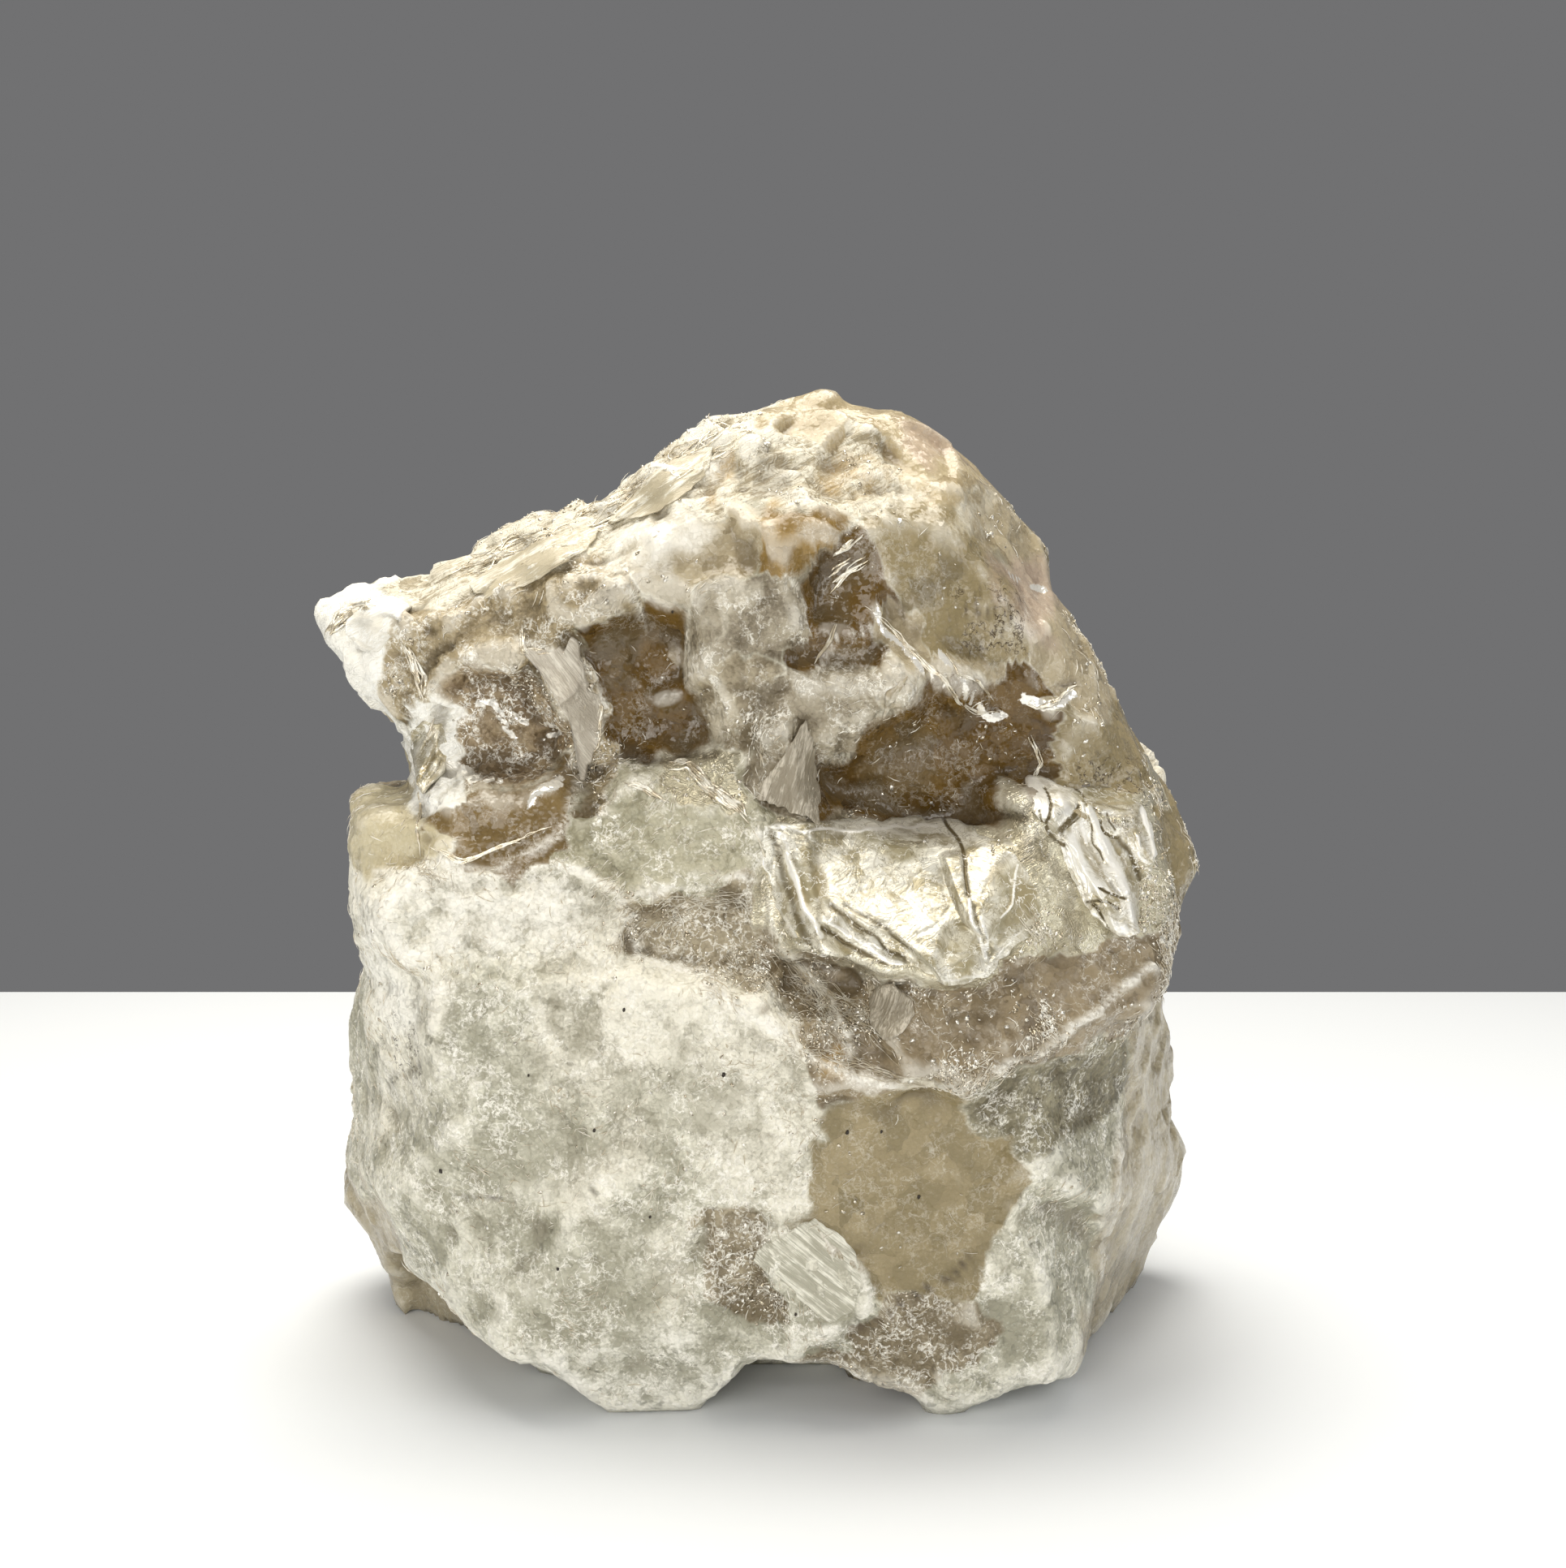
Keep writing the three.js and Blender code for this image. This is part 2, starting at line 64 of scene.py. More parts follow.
# %% Outline: x, z and the y of the widest line, clockwise from the peak
# The middle that the rays leave from, and the outline around it
HEART = np.array((0.0, 1.5, 15.5))
OUTLINE = np.array((
    (2.1, 34.0, 0), (3.1, 33.3, 0), (4.4, 33.1, 0.5), (5.1, 33.1, 0.5),
    (6.5, 32.0, 1), (8.1, 30.5, 1), (9.6, 28.5, 1), (10.5, 26.7, 1),
    (11.4, 25.4, 1), (12.5, 23.3, 1), (13.2, 22.0, 1), (13.8, 20.7, 0.5),
    (14.7, 18.8, 0), (15.2, 17.4, -0.5), (14.8, 16.4, -0.5), (14.5, 15.7, -1),
    (14.8, 13.3, -1), (14.4, 12.3, 1), (15.2, 9.3, 4), (15.5, 6.7, 5),
    (16.1, 5.9, 5.5), (16.6, 4.7, 6), (16.9, 3.1, 6), (16.2, 2.5, 6),
    (15.1, 1.8, 6), (14.8, 0.3, 6), (13.6, -6, 5), (11, -12, 2),
    (-11, -12, 2), (-13.4, -6, 4), (-14.0, 0.1, 4),
    (-14.3, 1.8, 4), (-15.0, 3.7, 3), (-15.5, 4.5, 3), (-15.5, 5.7, 3),
    (-15.1, 7.8, 3), (-14.8, 9.4, 2), (-14.7, 11.6, 1), (-14.5, 12.8, 0),
    (-13.6, 13.9, -1), (-13.7, 14.8, -2), (-13.9, 16.0, -2), (-13.8, 19.4, -2),
    (-14.0, 19.8, -1.5), (-13.7, 20.2, -1), (-11.9, 20.2, -1), (-12.1, 21.8, -0.5),
    (-12.8, 22.9, -0.5), (-13.1, 23.8, -0.5), (-14.0, 24.3, -1), (-14.5, 24.9, -1),
    (-15.0, 26.0, -1), (-14.9, 26.3, -1), (-14.0, 27.0, -0.5), (-13.1, 27.2, 0),
    (-12.1, 27.3, 0), (-10.2, 28.1, 0), (-8.8, 28.9, 0), (-7.3, 29.4, 0),
    (-5.4, 29.9, 0), (-3.9, 31.4, 0), (-2.2, 32.5, 0), (-0.3, 33.1, 0),
    (0.8, 33.6, 0),
))

# %% Grains of the showing face
# name: x, z, half width, half height, turn in degrees, y, slope of y per mm
# of x and of z, mineral
FRONT_GRAINS = {
    "roof_left": (-9.3, 27.5, 3.3, 0.9, 22, -2.6, -0.1, 0.8, "cream"),
    "roof_mid": (-5.1, 29.0, 2.7, 1.0, 22, -3.2, 0, 0.9, "cream"),
    "roof_upper": (-2.0, 31.1, 1.9, 1.4, 35, -2.9, 0, 1.0, "cream"),
    "peak": (2.0, 32.8, 1.7, 0.9, 0, -1.4, 0, 1.0, "clear"),
    "roof_tan": (0.7, 31.0, 1.1, 1.1, 0, -3.4, 0.05, 0.9, "cream"),
    "roof_stain": (3.1, 30.6, 1.2, 1.3, 0, -3.3, 0, 0.9, "cream"),
    "roof_right": (5.4, 30.9, 1.9, 1.4, -35, -2.3, 0.3, 0.8, "clear"),
    "right_rim": (7.9, 28.6, 0.8, 2.5, 35, -1.6, 0.9, 0.3, "milky"),
    "wedge": (-2.2, 28.2, 2.3, 1.1, 22, -5.2, 0, 0.25, "milky"),
    "lens": (1.1, 28.7, 1.6, 1.0, -10, -5.9, 0.05, 0.2, "amber"),
    "mica_pit": (2.9, 27.3, 1.1, 1.0, 0, -4.7, -0.3, 0.2, "smoky"),
    "olive_plane": (6.0, 28.0, 2.5, 1.7, -30, -4.3, 0.35, 0.15, "tan"),
    "dark_veins": (7.4, 25.7, 1.6, 1.2, -30, -4.3, 0.3, 0, "tan"),
    "pale_plate": (10.1, 24.7, 1.1, 1.8, 35, -3.2, 0.6, 0.1, "milky"),
    "white_glint": (9.6, 23.1, 1.2, 0.4, 15, -4.0, 0.2, 0.6, "tan"),
    "silver_line": (5.9, 24.8, 2.7, 0.4, -40, -5.2, 0.1, 0.5, "milky"),
    "blue_white": (-0.4, 26.1, 1.3, 1.2, 0, -5.7, 0, -0.1, "cool"),
    # white_middle is albite in the recess, given the darker cool tones: painted shade
    "white_middle": (2.9, 22.9, 1.2, 1.3, 0, -5.8, 0, -0.15, "cool"),
    "lilac_wedge": (4.2, 23.5, 0.9, 1.1, 30, -6.0, -0.3, -0.1, "lilac"),
    "brown_window": (2.8, 25.1, 1.0, 0.9, 0, -5.1, 0, -0.1, "smoky"),
    "feather": (1.0, 21.1, 0.8, 1.5, 20, -6.2, -0.2, -0.3, "cool"),
    "middle_quartz": (-0.8, 23.8, 1.2, 1.3, 0, -5.6, 0, -0.2, "lilac"),
    "brown_recess": (-2.3, 22.8, 0.9, 1.0, 0, -4.1, 0, -0.1, "smoky"),
    "hollow": (4.9, 21.2, 2.9, 1.9, 0, -3.9, 0, -0.4, "smoky"),
    "hollow_right": (8.1, 22.4, 1.8, 1.6, -20, -3.8, 0.2, -0.25, "smoky"),
    "right_tan": (11.0, 21.5, 1.3, 1.2, -30, -3.4, 0.5, -0.1, "tan"),
    "horn": (-13.5, 25.7, 1.2, 1.6, 40, -3.1, -0.5, 0.1, "pearl"),
    "horn_root": (-10.9, 25.3, 1.4, 1.5, 0, -4.2, -0.3, 0.1, "veil"),
    "flap": (-5.1, 26.6, 1.2, 0.9, 0, -5.7, 0, 0.1, "veil"),
    "upper_left": (-8.7, 25.8, 1.6, 1.3, 20, -4.8, -0.1, 0.4, "veil"),
    "web": (-6.6, 24.2, 0.7, 1.6, 15, -5.4, 0, 0, "veil"),
    "sparkle_pit": (-8.4, 22.6, 1.7, 1.5, 0, -4.0, 0.1, -0.1, "foil"),
    "olive_pit": (-4.3, 24.5, 1.4, 2.0, 0, -4.1, 0.25, 0, "smoky"),
    "web_low": (-5.7, 22.3, 0.5, 1.6, 0, -4.9, 0, -0.1, "veil"),
    "silver_left": (-10.8, 21.5, 0.8, 1.2, 0, -3.7, -0.5, 0, "pearl"),
    "block": (-11.9, 19.1, 1.3, 1.6, 0, -5.4, -0.35, 0.15, "honey"),
    "tan_lens": (-8.2, 19.7, 2.2, 1.1, 0, -6.3, 0, 0.35, "brown"),
    "pale_green": (-3.0, 19.1, 2.9, 1.6, 0, -6.7, 0, 0.4, "green"),
    "mica_cluster": (-1.9, 20.9, 1.2, 0.6, -25, -5.6, 0, 0.8, "silver"),
    "centre_book": (4.2, 17.5, 3.0, 2.0, -5, -7.0, 0.05, 0.75, "silver"),
    "book_folds": (0.7, 17.7, 0.6, 1.8, -10, -6.6, -0.5, 0.4, "silver"),
    "book_right": (7.7, 17.0, 0.9, 1.5, 0, -7.3, 0.15, 0.5, "silver"),
    "crackle": (8.6, 20.1, 1.0, 0.7, 0, -5.6, 0.2, 0.7, "silver"),
    "right_book": (11.1, 17.9, 1.9, 2.0, -60, -5.6, 0.45, 0.4, "silver"),
    "tan_lobe": (14.2, 18.1, 0.5, 1.0, 0, -2.2, 0.9, 0.2, "tan"),
    "band_left": (2.9, 12.8, 1.5, 1.0, -20, -8.4, 0, 0.5, "scales"),
    "band_middle": (5.9, 13.2, 2.2, 1.3, 5, -8.8, 0, 0.5, "scales"),
    "band_right": (10.3, 14.5, 2.6, 1.3, 20, -7.2, 0.4, 0.5, "scales"),
    "silky_hollow": (2.1, 14.5, 1.4, 0.9, -20, -6.5, 0, 0.1, "scales"),
    "blue_crystal": (4.1, 14.4, 0.5, 0.9, -10, -7.9, 0.1, 0.1, "cool"),
    "lilac_patch": (-1.6, 16.3, 2.2, 1.3, 0, -7.0, 0, 0.1, "lilac"),
    "white_top": (-8.7, 16.5, 3.8, 1.4, 0, -7.3, 0, 0.3, "albite"),
    "left_bevel": (-11.9, 13.0, 1.2, 2.8, 0, -5.6, -0.7, 0, "albite"),
    "face_left": (-7.2, 11.7, 3.7, 3.0, 0, -8.0, -0.08, 0, "albite"),
    "face_middle": (-2.1, 13.1, 2.5, 2.1, 0, -8.4, 0, 0, "albite"),
    "face_low_left": (-9.9, 6.9, 2.0, 2.8, 0, -6.8, -0.45, -0.25, "albite"),
    "face_low": (-4.8, 5.7, 3.2, 2.7, 0, -7.8, -0.05, -0.2, "albite"),
    "face_right": (-0.8, 9.5, 2.5, 2.5, 0, -8.3, 0, -0.05, "albite"),
    "lobe_left": (-3.5, 1.7, 2.1, 1.1, 0, -6.9, 0, -0.3, "albite"),
    "grey_zone": (-0.9, 6.5, 1.5, 1.2, 0, -7.8, 0, -0.1, "lilac"),
    "tan_patch": (4.5, 8.1, 2.9, 2.8, 0, -7.8, 0.05, -0.05, "tan"),
    "white_plate": (1.7, 5.2, 1.7, 1.1, -45, -8.1, 0, -0.1, "albite"),
    "lilac_spots": (-0.1, 4.7, 0.9, 0.8, 0, -7.5, 0, -0.1, "lilac"),
    "lilac_low": (5.3, 3.1, 2.0, 1.1, 0, -7.4, 0, -0.25, "lilac"),
    "lobe_right": (7.0, 1.5, 1.2, 0.8, 0, -7.0, 0.1, -0.3, "albite"),
    "blue_green": (9.4, 5.4, 1.8, 3.3, 0, -7.1, 0.25, -0.1, "albite"),
    "grey_green": (8.8, 10.5, 1.7, 1.2, 0, -7.3, 0.25, 0, "slate"),
    # right_side, right_low, left_under and under_left take the shaded honey: painted shade on the sides and
    # underside
    "right_side": (13.9, 10.0, 0.8, 3.0, 0, -0.5, 2.6, 0, "dusk"),
    "right_low": (12.7, 3.0, 1.2, 3.2, 0, -0.75, 2.16, -0.73, "dusk"),
    "left_side": (-13.9, 9.3, 0.4, 3.1, 0, -1.0, -2.5, 0, "albite"),
    "left_under": (-13.7, 3.3, 1.0, 2.3, -20, 0.5, -1.5, -0.4, "dusk"),
    "under_left": (-10.5, 0.8, 2.5, 1.2, -28, 0.3, -1.0, -0.3, "dusk"),
    "notch_left": (-7.1, 0.4, 1.0, 0.6, -20, -3.5, 0, 0, "albite"),
    "notch_middle": (0.5, 0.2, 1.5, 0.8, 0, -2.5, 0, 0, "green"),
    "notch_small": (4.0, 0, 0.8, 0.5, 0, -4.0, 0, 0, "lilac"),
    "notch_right": (9.0, 0, 1.1, 0.5, 10, -3.5, 0, 0, "albite"),
}

# %% Grains of the back, which falls away towards the peak
BACK_GRAINS = {
    "foot_left": (-9, 5, 5, 4.5, 0, 9.0, 0.45, 0.1),
    "foot_middle": (-2, 4, 4, 4, 0, 12.0, 0.05, 0),
    "foot_right": (6, 5, 5, 4.5, 0, 12.2, -0.15, -0.1),
    "foot_corner": (12, 5, 3, 6, 0, 10.0, -0.6, 0),
    "waist_left": (-9, 13, 5, 4, 20, 9.0, 0.5, -0.2),
    "waist_middle": (-1, 12, 5, 4.5, 0, 11.6, 0.1, -0.3),
    "waist_right": (7, 13, 4.5, 4.5, 0, 10.6, -0.3, -0.2),
    "waist_corner": (12.5, 14, 3, 4, 0, 6.5, -0.8, -0.1),
    "shoulder_left": (-10, 20, 4, 4, 0, 5.0, 0.4, -0.4),
    "shoulder_middle": (-3, 20, 5, 4, 0, 8.6, 0.1, -0.5),
    "shoulder_right": (5, 21, 5, 4, 0, 7.8, -0.1, -0.45),
    "shoulder_corner": (11, 21, 3, 4, 0, 4.2, -0.6, -0.3),
    "horn_back": (-12, 25, 3, 2.5, 0, 1.6, 0.1, -0.2),
    "neck_left": (-6, 26.5, 4, 2.5, 0, 3.6, 0.1, -0.7),
    "neck_middle": (1, 28, 4, 3, 0, 4.8, 0, -0.6),
    "neck_right": (7, 27, 3.5, 3.5, 0, 4.0, -0.3, -0.5),
    "ridge_back": (2.5, 32, 3, 2, 0, 2.0, 0, -0.9),
}
MINERALS = sorted({row[-1] for row in FRONT_GRAINS.values()})
print(len(FRONT_GRAINS), "front grains of", MINERALS, "and", len(BACK_GRAINS), "at the back")

# %% [markdown]
# ## From grains to a face
# Each grain is a tilted plane. At any point the nearest grain should win,
# but with a short soft slope where two meet. A weighted mean does that: the
# weight is exp(-crispness x squared distance), measured in the grain's own
# ellipse. A waver bends the borders so that they don't look drawn.

# %% Waver and weights
WAVER_MM, WAVER_SIZE = 0.28, 1.6


def waver(x, z):
    """Two octaves of sine, one bent by another, between about -1 and 1."""
    a, b = x / WAVER_SIZE, z / WAVER_SIZE
    broad = np.sin(2.1 * a + 1.3 * np.sin(1.7 * b + 0.4))
    fine = np.sin(4.3 * b + 2.9 * a + 1.9 * np.sin(3.1 * a))
    return (broad + 0.5 * fine) / 1.5


def grain_distances(rows, x, z, phase=0.0):
    """Squared distance to each grain: (along / half width)^2 + (across / half height)^2."""
    wx = x + WAVER_MM * waver(x + phase, z)
    wz = z + WAVER_MM * waver(z - phase, x + 7.7)
    found = []
    for middle_x, middle_z, wide, high, turn, *_ in rows:
        c, s = math.cos(math.radians(turn)), math.sin(math.radians(turn))
        along = ((wx - middle_x) * c + (wz - middle_z) * s) / wide
        across = ((wz - middle_z) * c - (wx - middle_x) * s) / high
        found.append(along ** 2 + across ** 2)
    return np.array(found)


def grain_weights(rows, x, z, crispness, phase=0.0):
    """Softmax of minus crispness x squared distance, over all grains."""
    far = grain_distances(rows, x, z, phase)
    weights = np.exp(-crispness * (far - far.min(0)))
    return weights / weights.sum(0)


def grain_face(rows, x, z, crispness, phase=0.0):
    """The y of the face: the weighted mean of y0 + slope_x dx + slope_z dz."""
    face = np.zeros_like(x)
    for weight, row in zip(grain_weights(rows, x, z, crispness, phase), rows):
        face += weight * (row[5] + row[6] * (x - row[0]) + row[7] * (z - row[1]))
    return face


# %% Both faces on one chart, so that a ray can look them up quickly
CHART_STEP, FACE_CRISPNESS = 0.06, 6
chart_x = np.arange(-20.0, 21.0, CHART_STEP)
chart_z = np.arange(-4.0, 37.0, CHART_STEP)
CHART_X, CHART_Z = np.meshgrid(chart_x, chart_z)
front_rows = list(FRONT_GRAINS.values())
front_chart = grain_face(front_rows, CHART_X, CHART_Z, FACE_CRISPNESS)
back_chart = grain_face(list(BACK_GRAINS.values()), CHART_X, CHART_Z, FACE_CRISPNESS, phase=3.1)


def look_up(chart, x, z, chart_step=CHART_STEP):
    """Bilinear reading of a chart at points (x, z)."""
    u = np.clip((x - chart_x[0]) / chart_step, 0, chart.shape[1] - 1.001)
    v = np.clip((z - chart_z[0]) / chart_step, 0, chart.shape[0] - 1.001)
    i, j = u.astype(int), v.astype(int)
    u, v = u - i, v - j
    low = chart[j, i] * (1 - u) + chart[j, i + 1] * u
    high = chart[j + 1, i] * (1 - u) + chart[j + 1, i + 1] * u
    return low * (1 - v) + high * v


print("charts of", front_chart.shape, "readings")

# %% [markdown]
# ## One closed surface
# The outside of the lump is the place where a function changes sign. The
# function is the larger of "ahead of the front face", "behind the back face",
# "beyond the outline" and "below the base". Rays leave an inner sheet, which
# is the outline drawn in: straight ahead in its middle, and fanned out at its
# edge, so that pits keep an even mesh and the rim is covered too.

# %% Inside or outside
RIM_FREE_RADIUS = 4
FACE_ROUNDING, RIM_ROUNDING = 0.6, 0.7
# How the outline draws in ahead of its widest line and behind it: slope and curve per mm
DRAWN_AHEAD, DRAWN_BEHIND = (-0.2, 0.035), (0.1, 0.045)
around_heart = OUTLINE[:, :2] - HEART[[0, 2]]
rim_angles = np.arctan2(around_heart[:, 1], around_heart[:, 0])
order = np.argsort(rim_angles)
TURN = 2 * math.pi
RIM_ANGLES = np.concatenate([rim_angles[order] + turn for turn in (-TURN, 0, TURN)])
RIM_RADII = np.tile(np.hypot(*around_heart.T)[order], 3)
RIM_Y = np.tile(OUTLINE[order, 2], 3)


def rounded_max(a, b, rounding):
    """The larger of two, with a rounded corner where they meet."""
    near = np.maximum(rounding - np.abs(a - b), 0) / rounding
    return np.maximum(a, b) + near ** 2 * rounding / 4


def outside(p):
    """Above zero outside the lump, below zero inside it."""
    x, y, z = p.T
    faces = rounded_max(look_up(front_chart, x, z) - y, y - look_up(back_chart, x, z), FACE_ROUNDING)
    dx, dz = x - HEART[0], z - HEART[2]
    angle, radius = np.arctan2(dz, dx), np.hypot(dx, dz)
    away = y - np.interp(angle, RIM_ANGLES, RIM_Y)
    drawn_in = np.where(away < 0, DRAWN_AHEAD[0] * away + DRAWN_AHEAD[1] * away ** 2,
                        DRAWN_BEHIND[0] * away + DRAWN_BEHIND[1] * away ** 2)
    rim = radius - (np.interp(angle, RIM_ANGLES, RIM_RADII) - drawn_in)
    rim = np.where(radius < RIM_FREE_RADIUS, -RIM_FREE_RADIUS, rim)
    return np.maximum(rounded_max(faces, rim, RIM_ROUNDING), -z)


# %% The box grid: corners, faces and the ray of each corner
KEY_BASE = 10000  # more than the grid's corners along an edge, so that each corner has its own key


def box_grid(across, deep):
    """Corners of a box's surface grid in -1..1, and its square faces, seen from outside."""
    counts = np.array((across, deep, across))
    faces = []
    for axis in range(3):
        u, v = (axis + 1) % 3, (axis + 2) % 3
        iu, iv = np.meshgrid(np.arange(counts[u]), np.arange(counts[v]), indexing="ij")
        for side in (0, counts[axis]):
            square = np.zeros((4, iu.size, 3), int)
            for k, (du, dv) in enumerate(((0, 0), (1, 0), (1, 1), (0, 1))):
                square[k, :, axis] = side
                square[k, :, u] = iu.ravel() + du
                square[k, :, v] = iv.ravel() + dv
            faces.append(square if side else square[::-1])
    faces = np.concatenate(faces, axis=1).transpose(1, 0, 2)
    keys = faces.reshape(-1, 3) @ (KEY_BASE ** np.arange(3))
    _, first, index = np.unique(keys, return_index=True, return_inverse=True)
    corners = faces.reshape(-1, 3)[first] / counts * 2 - 1
    return corners, index.reshape(-1, 4)


SHEET_SHARE, SHEET_LOWEST = 0.78, 1.5


def rays(corners):
    """Start and direction of each corner's ray. Concentric squares of the box's
    front and back are rings of the sheet. The lean from straight ahead is
    45 degrees x ring^3 on the faces and goes on round over the box's sides."""
    x, y, z = corners.T
    ring = np.maximum(np.abs(x), np.abs(z))
    safe = np.where(ring > 0, ring, 1)
    beside = np.abs(x) >= np.abs(z)
    flat_side = np.where(x >= 0, z / safe, 4 - z / safe)
    flat_top = np.where(z >= 0, 2 - x / safe, 6 + x / safe)
    around = np.where(beside, flat_side, flat_top) * math.pi / 4
    around = (around + math.pi) % TURN - math.pi
    cos, sin = np.cos(around), np.sin(around)
    on_face = np.abs(y) > 1 - 1e-6
    share = np.where(on_face, ring, 1)
    reach = SHEET_SHARE * np.interp(around, RIM_ANGLES, RIM_RADII)
    lowest = (HEART[2] - SHEET_LOWEST) / np.maximum(-sin, 1e-6)
    reach = np.where(sin < 0, np.minimum(reach, lowest), reach) * share
    quarter = math.pi / 4
    lean = np.where(on_face, quarter * share ** 3, quarter * (2 - np.abs(y)))
    turn = np.where(y < 0, lean, math.pi - lean)
    edge_y = np.interp(around, RIM_ANGLES, RIM_Y)
    start = np.stack((HEART[0] + reach * cos,
                      HEART[1] + (edge_y - HEART[1]) * share ** 2,
                      HEART[2] + reach * sin), 1)
    way = np.stack((np.sin(turn) * cos, -np.cos(turn), np.sin(turn) * sin), 1)
    return start, way, turn


def outermost(start, way, farthest=16.0, step=0.18, halvings=16):
    """March in along each ray to the first point inside, then halve the gap."""
    inner, outer = np.zeros(len(start)), np.full(len(start), farthest)
    seeking = np.ones(len(start), bool)
    for distance in np.arange(farthest - step, 0, -step):
        hit = np.flatnonzero(seeking)
        inside = hit[outside(start[hit] + way[hit] * distance) < 0]
        inner[inside], outer[inside] = distance, distance + step
        seeking[inside] = False
    for _ in range(halvings):
        middle = (inner + outer) / 2
        inside = outside(start + way * middle[:, None]) < 0
        inner, outer = np.where(inside, middle, inner), np.where(inside, outer, middle)
    return start + way * inner[:, None]


# %% Cells of space: one tool for breaks, crystals and scales
def cell_number(i, j, k, salt):
    """A fixed random number from 0 to 1 for a cell: the fraction of a large sine."""
    v = np.sin(i * 127.1 + j * 311.7 + k * 74.7 + salt * 191.3) * 43758.5453
    return v - np.floor(v)


def cells(points, size, crispness, tilt, step, picks=()):
    """Planes in cells: around every point of a jittered lattice lies a tilted
    plane, and the nearest wins. Returns its height there in mm, and the
    weight of the cells whose own number falls in each pick (low, high)."""
    p = points / size
    base = np.floor(p)
    far, height, own = [], [], []
    for di in (-1, 0, 1):
        for dj in (-1, 0, 1):
            for dk in (-1, 0, 1):
                cell = (base + (di, dj, dk)).T
                middle = cell + [cell_number(*cell, salt) for salt in (1, 2, 3)]
                away = p.T - middle
                lean = np.array([cell_number(*cell, salt) for salt in (4, 5, 6)]) - 0.5
                far.append((away ** 2).sum(0))
                height.append(tilt * (away * lean).sum(0)
                              + step * (cell_number(*cell, 7) - 0.5))
                own.append(cell_number(*cell, 8))
    far, height, own = np.array(far), np.array(height), np.array(own)
    weights = np.exp(-crispness * (far - far.min(0)))
    weights /= weights.sum(0)
    shares = [((own >= low) & (own < high)) * weights for low, high in picks]
    return size * (weights * height).sum(0), [share.sum(0) for share in shares]


def mist(points, size, salt):
    """Smooth noise from -1 to 1: numbers on a lattice, blended with 3t^2 - 2t^3."""
    p = points / size
    base = np.floor(p)
    t = p - base
    t = (t * t * (3 - 2 * t)).T
    total = 0
    for di in (0, 1):
        for dj in (0, 1):
            for dk in (0, 1):
                share = (np.where(di, t[0], 1 - t[0]) * np.where(dj, t[1], 1 - t[1])
                         * np.where(dk, t[2], 1 - t[2]))
                total = total + share * cell_number(*(base + (di, dj, dk)).T, salt)
    return 2 * total - 1


def creases(x, z, turn, length, spacing, width, salt):
    """1 on wandering, nearly parallel lines and 0 away from them: exp(-(n / width)^2),
    where n is noise stretched to the length along the turn and the spacing across."""
    c, s = math.cos(math.radians(turn)), math.sin(math.radians(turn))
    at = np.stack(((x * c + z * s) / length, 0 * x, (z * c - x * s) / spacing), 1)
    noise = 0.7 * mist(at, 1, salt) + 0.3 * mist(at, 0.45, salt + 1)
    return np.exp(-(noise / width) ** 2)


def relaxed(points, faces, passes):
    """Each corner drawn halfway to the middle of its neighbours. The base stays flat."""
    ends = np.concatenate([faces[:, [k, (k + 1) % 4]] for k in range(4)])
    count = np.bincount(ends[:, 0], minlength=len(points))[:, None]
    flat = points[:, 2] == 0
    for _ in range(passes):
        middle = np.stack([np.bincount(ends[:, 0], points[ends[:, 1], k], len(points))
                           for k in range(3)], 1) / count
        points = points + 0.5 * (middle - points)
        points[flat, 2] = 0
    return points


def spread_out(values, faces, passes):
    """Values at the corners, each time averaged half and half with their neighbours."""
    ends = np.concatenate([faces[:, [k, (k + 1) % 4]] for k in range(4)])
    count = np.bincount(ends[:, 0], minlength=len(values))
    for _ in range(passes):
        values = (values + np.bincount(ends[:, 0], values[ends[:, 1]], len(values)) / count) / 2
    return values


def normals_of(points, faces):
    """Unit normals at the corners: the sum of the faces' crossed diagonals."""
    a, b, c, d = (points[faces[:, k]] for k in range(4))
    cross = np.cross(c - a, d - b)
    total = np.stack([np.bincount(faces.ravel(), np.repeat(cross[:, k], 4), len(points))
                      for k in range(3)], 1)
    return total / np.maximum(np.linalg.norm(total, axis=1, keepdims=True), 1e-12)


# %% The bare form: rays, then the large breaks of the sides and back
ACROSS, DEEP = 180, 45
BASE_SKIN = 0.01
# Turn of a ray from straight ahead in degrees, and the share of the large breaks there
BREAKS = (0, 70, 95, 110, 135), (0.08, 0.1, 0.12, 0.35, 1)
STEEP_UP_TO, FACING_UP_TO = 78, 88
# Heights above the base over which the large breaks and the relief fade in
BREAK_FADE, RELIEF_FADE = 1.5, 0.8
corners, faces = box_grid(ACROSS, DEEP)
start, way, turn = rays(corners)
lump = outermost(start, way)
on_base = lump[:, 2] < BASE_SKIN
depth, _ = cells(lump, size=7, crispness=30, tilt=0.8, step=0.1)
strength = np.interp(np.degrees(turn), *BREAKS)
strength *= np.clip(lump[:, 2] / BREAK_FADE, 0, 1)
lump += way * (depth * strength)[:, None]
lump[:, 2] = np.where(on_base, 0, np.maximum(lump[:, 2], 0))
lump = relaxed(lump, faces, passes=3)
# 0 where the surface faces front or back within 45 degrees, 1 past 66 degrees
steep = np.clip(2.4 - 3.4 * np.abs(normals_of(lump, faces)[:, 1]), 0, 1)
steep *= np.degrees(turn) < STEEP_UP_TO
steep = np.clip(2 * spread_out(steep, faces, passes=8), 0, 1)
lump += steep[:, None] * (relaxed(lump, faces, passes=16) - lump)
print("bare form:", len(lump), "corners,", 2 * len(faces), "triangles, mm:",
      np.round(lump.min(0), 1), np.round(lump.max(0), 1))

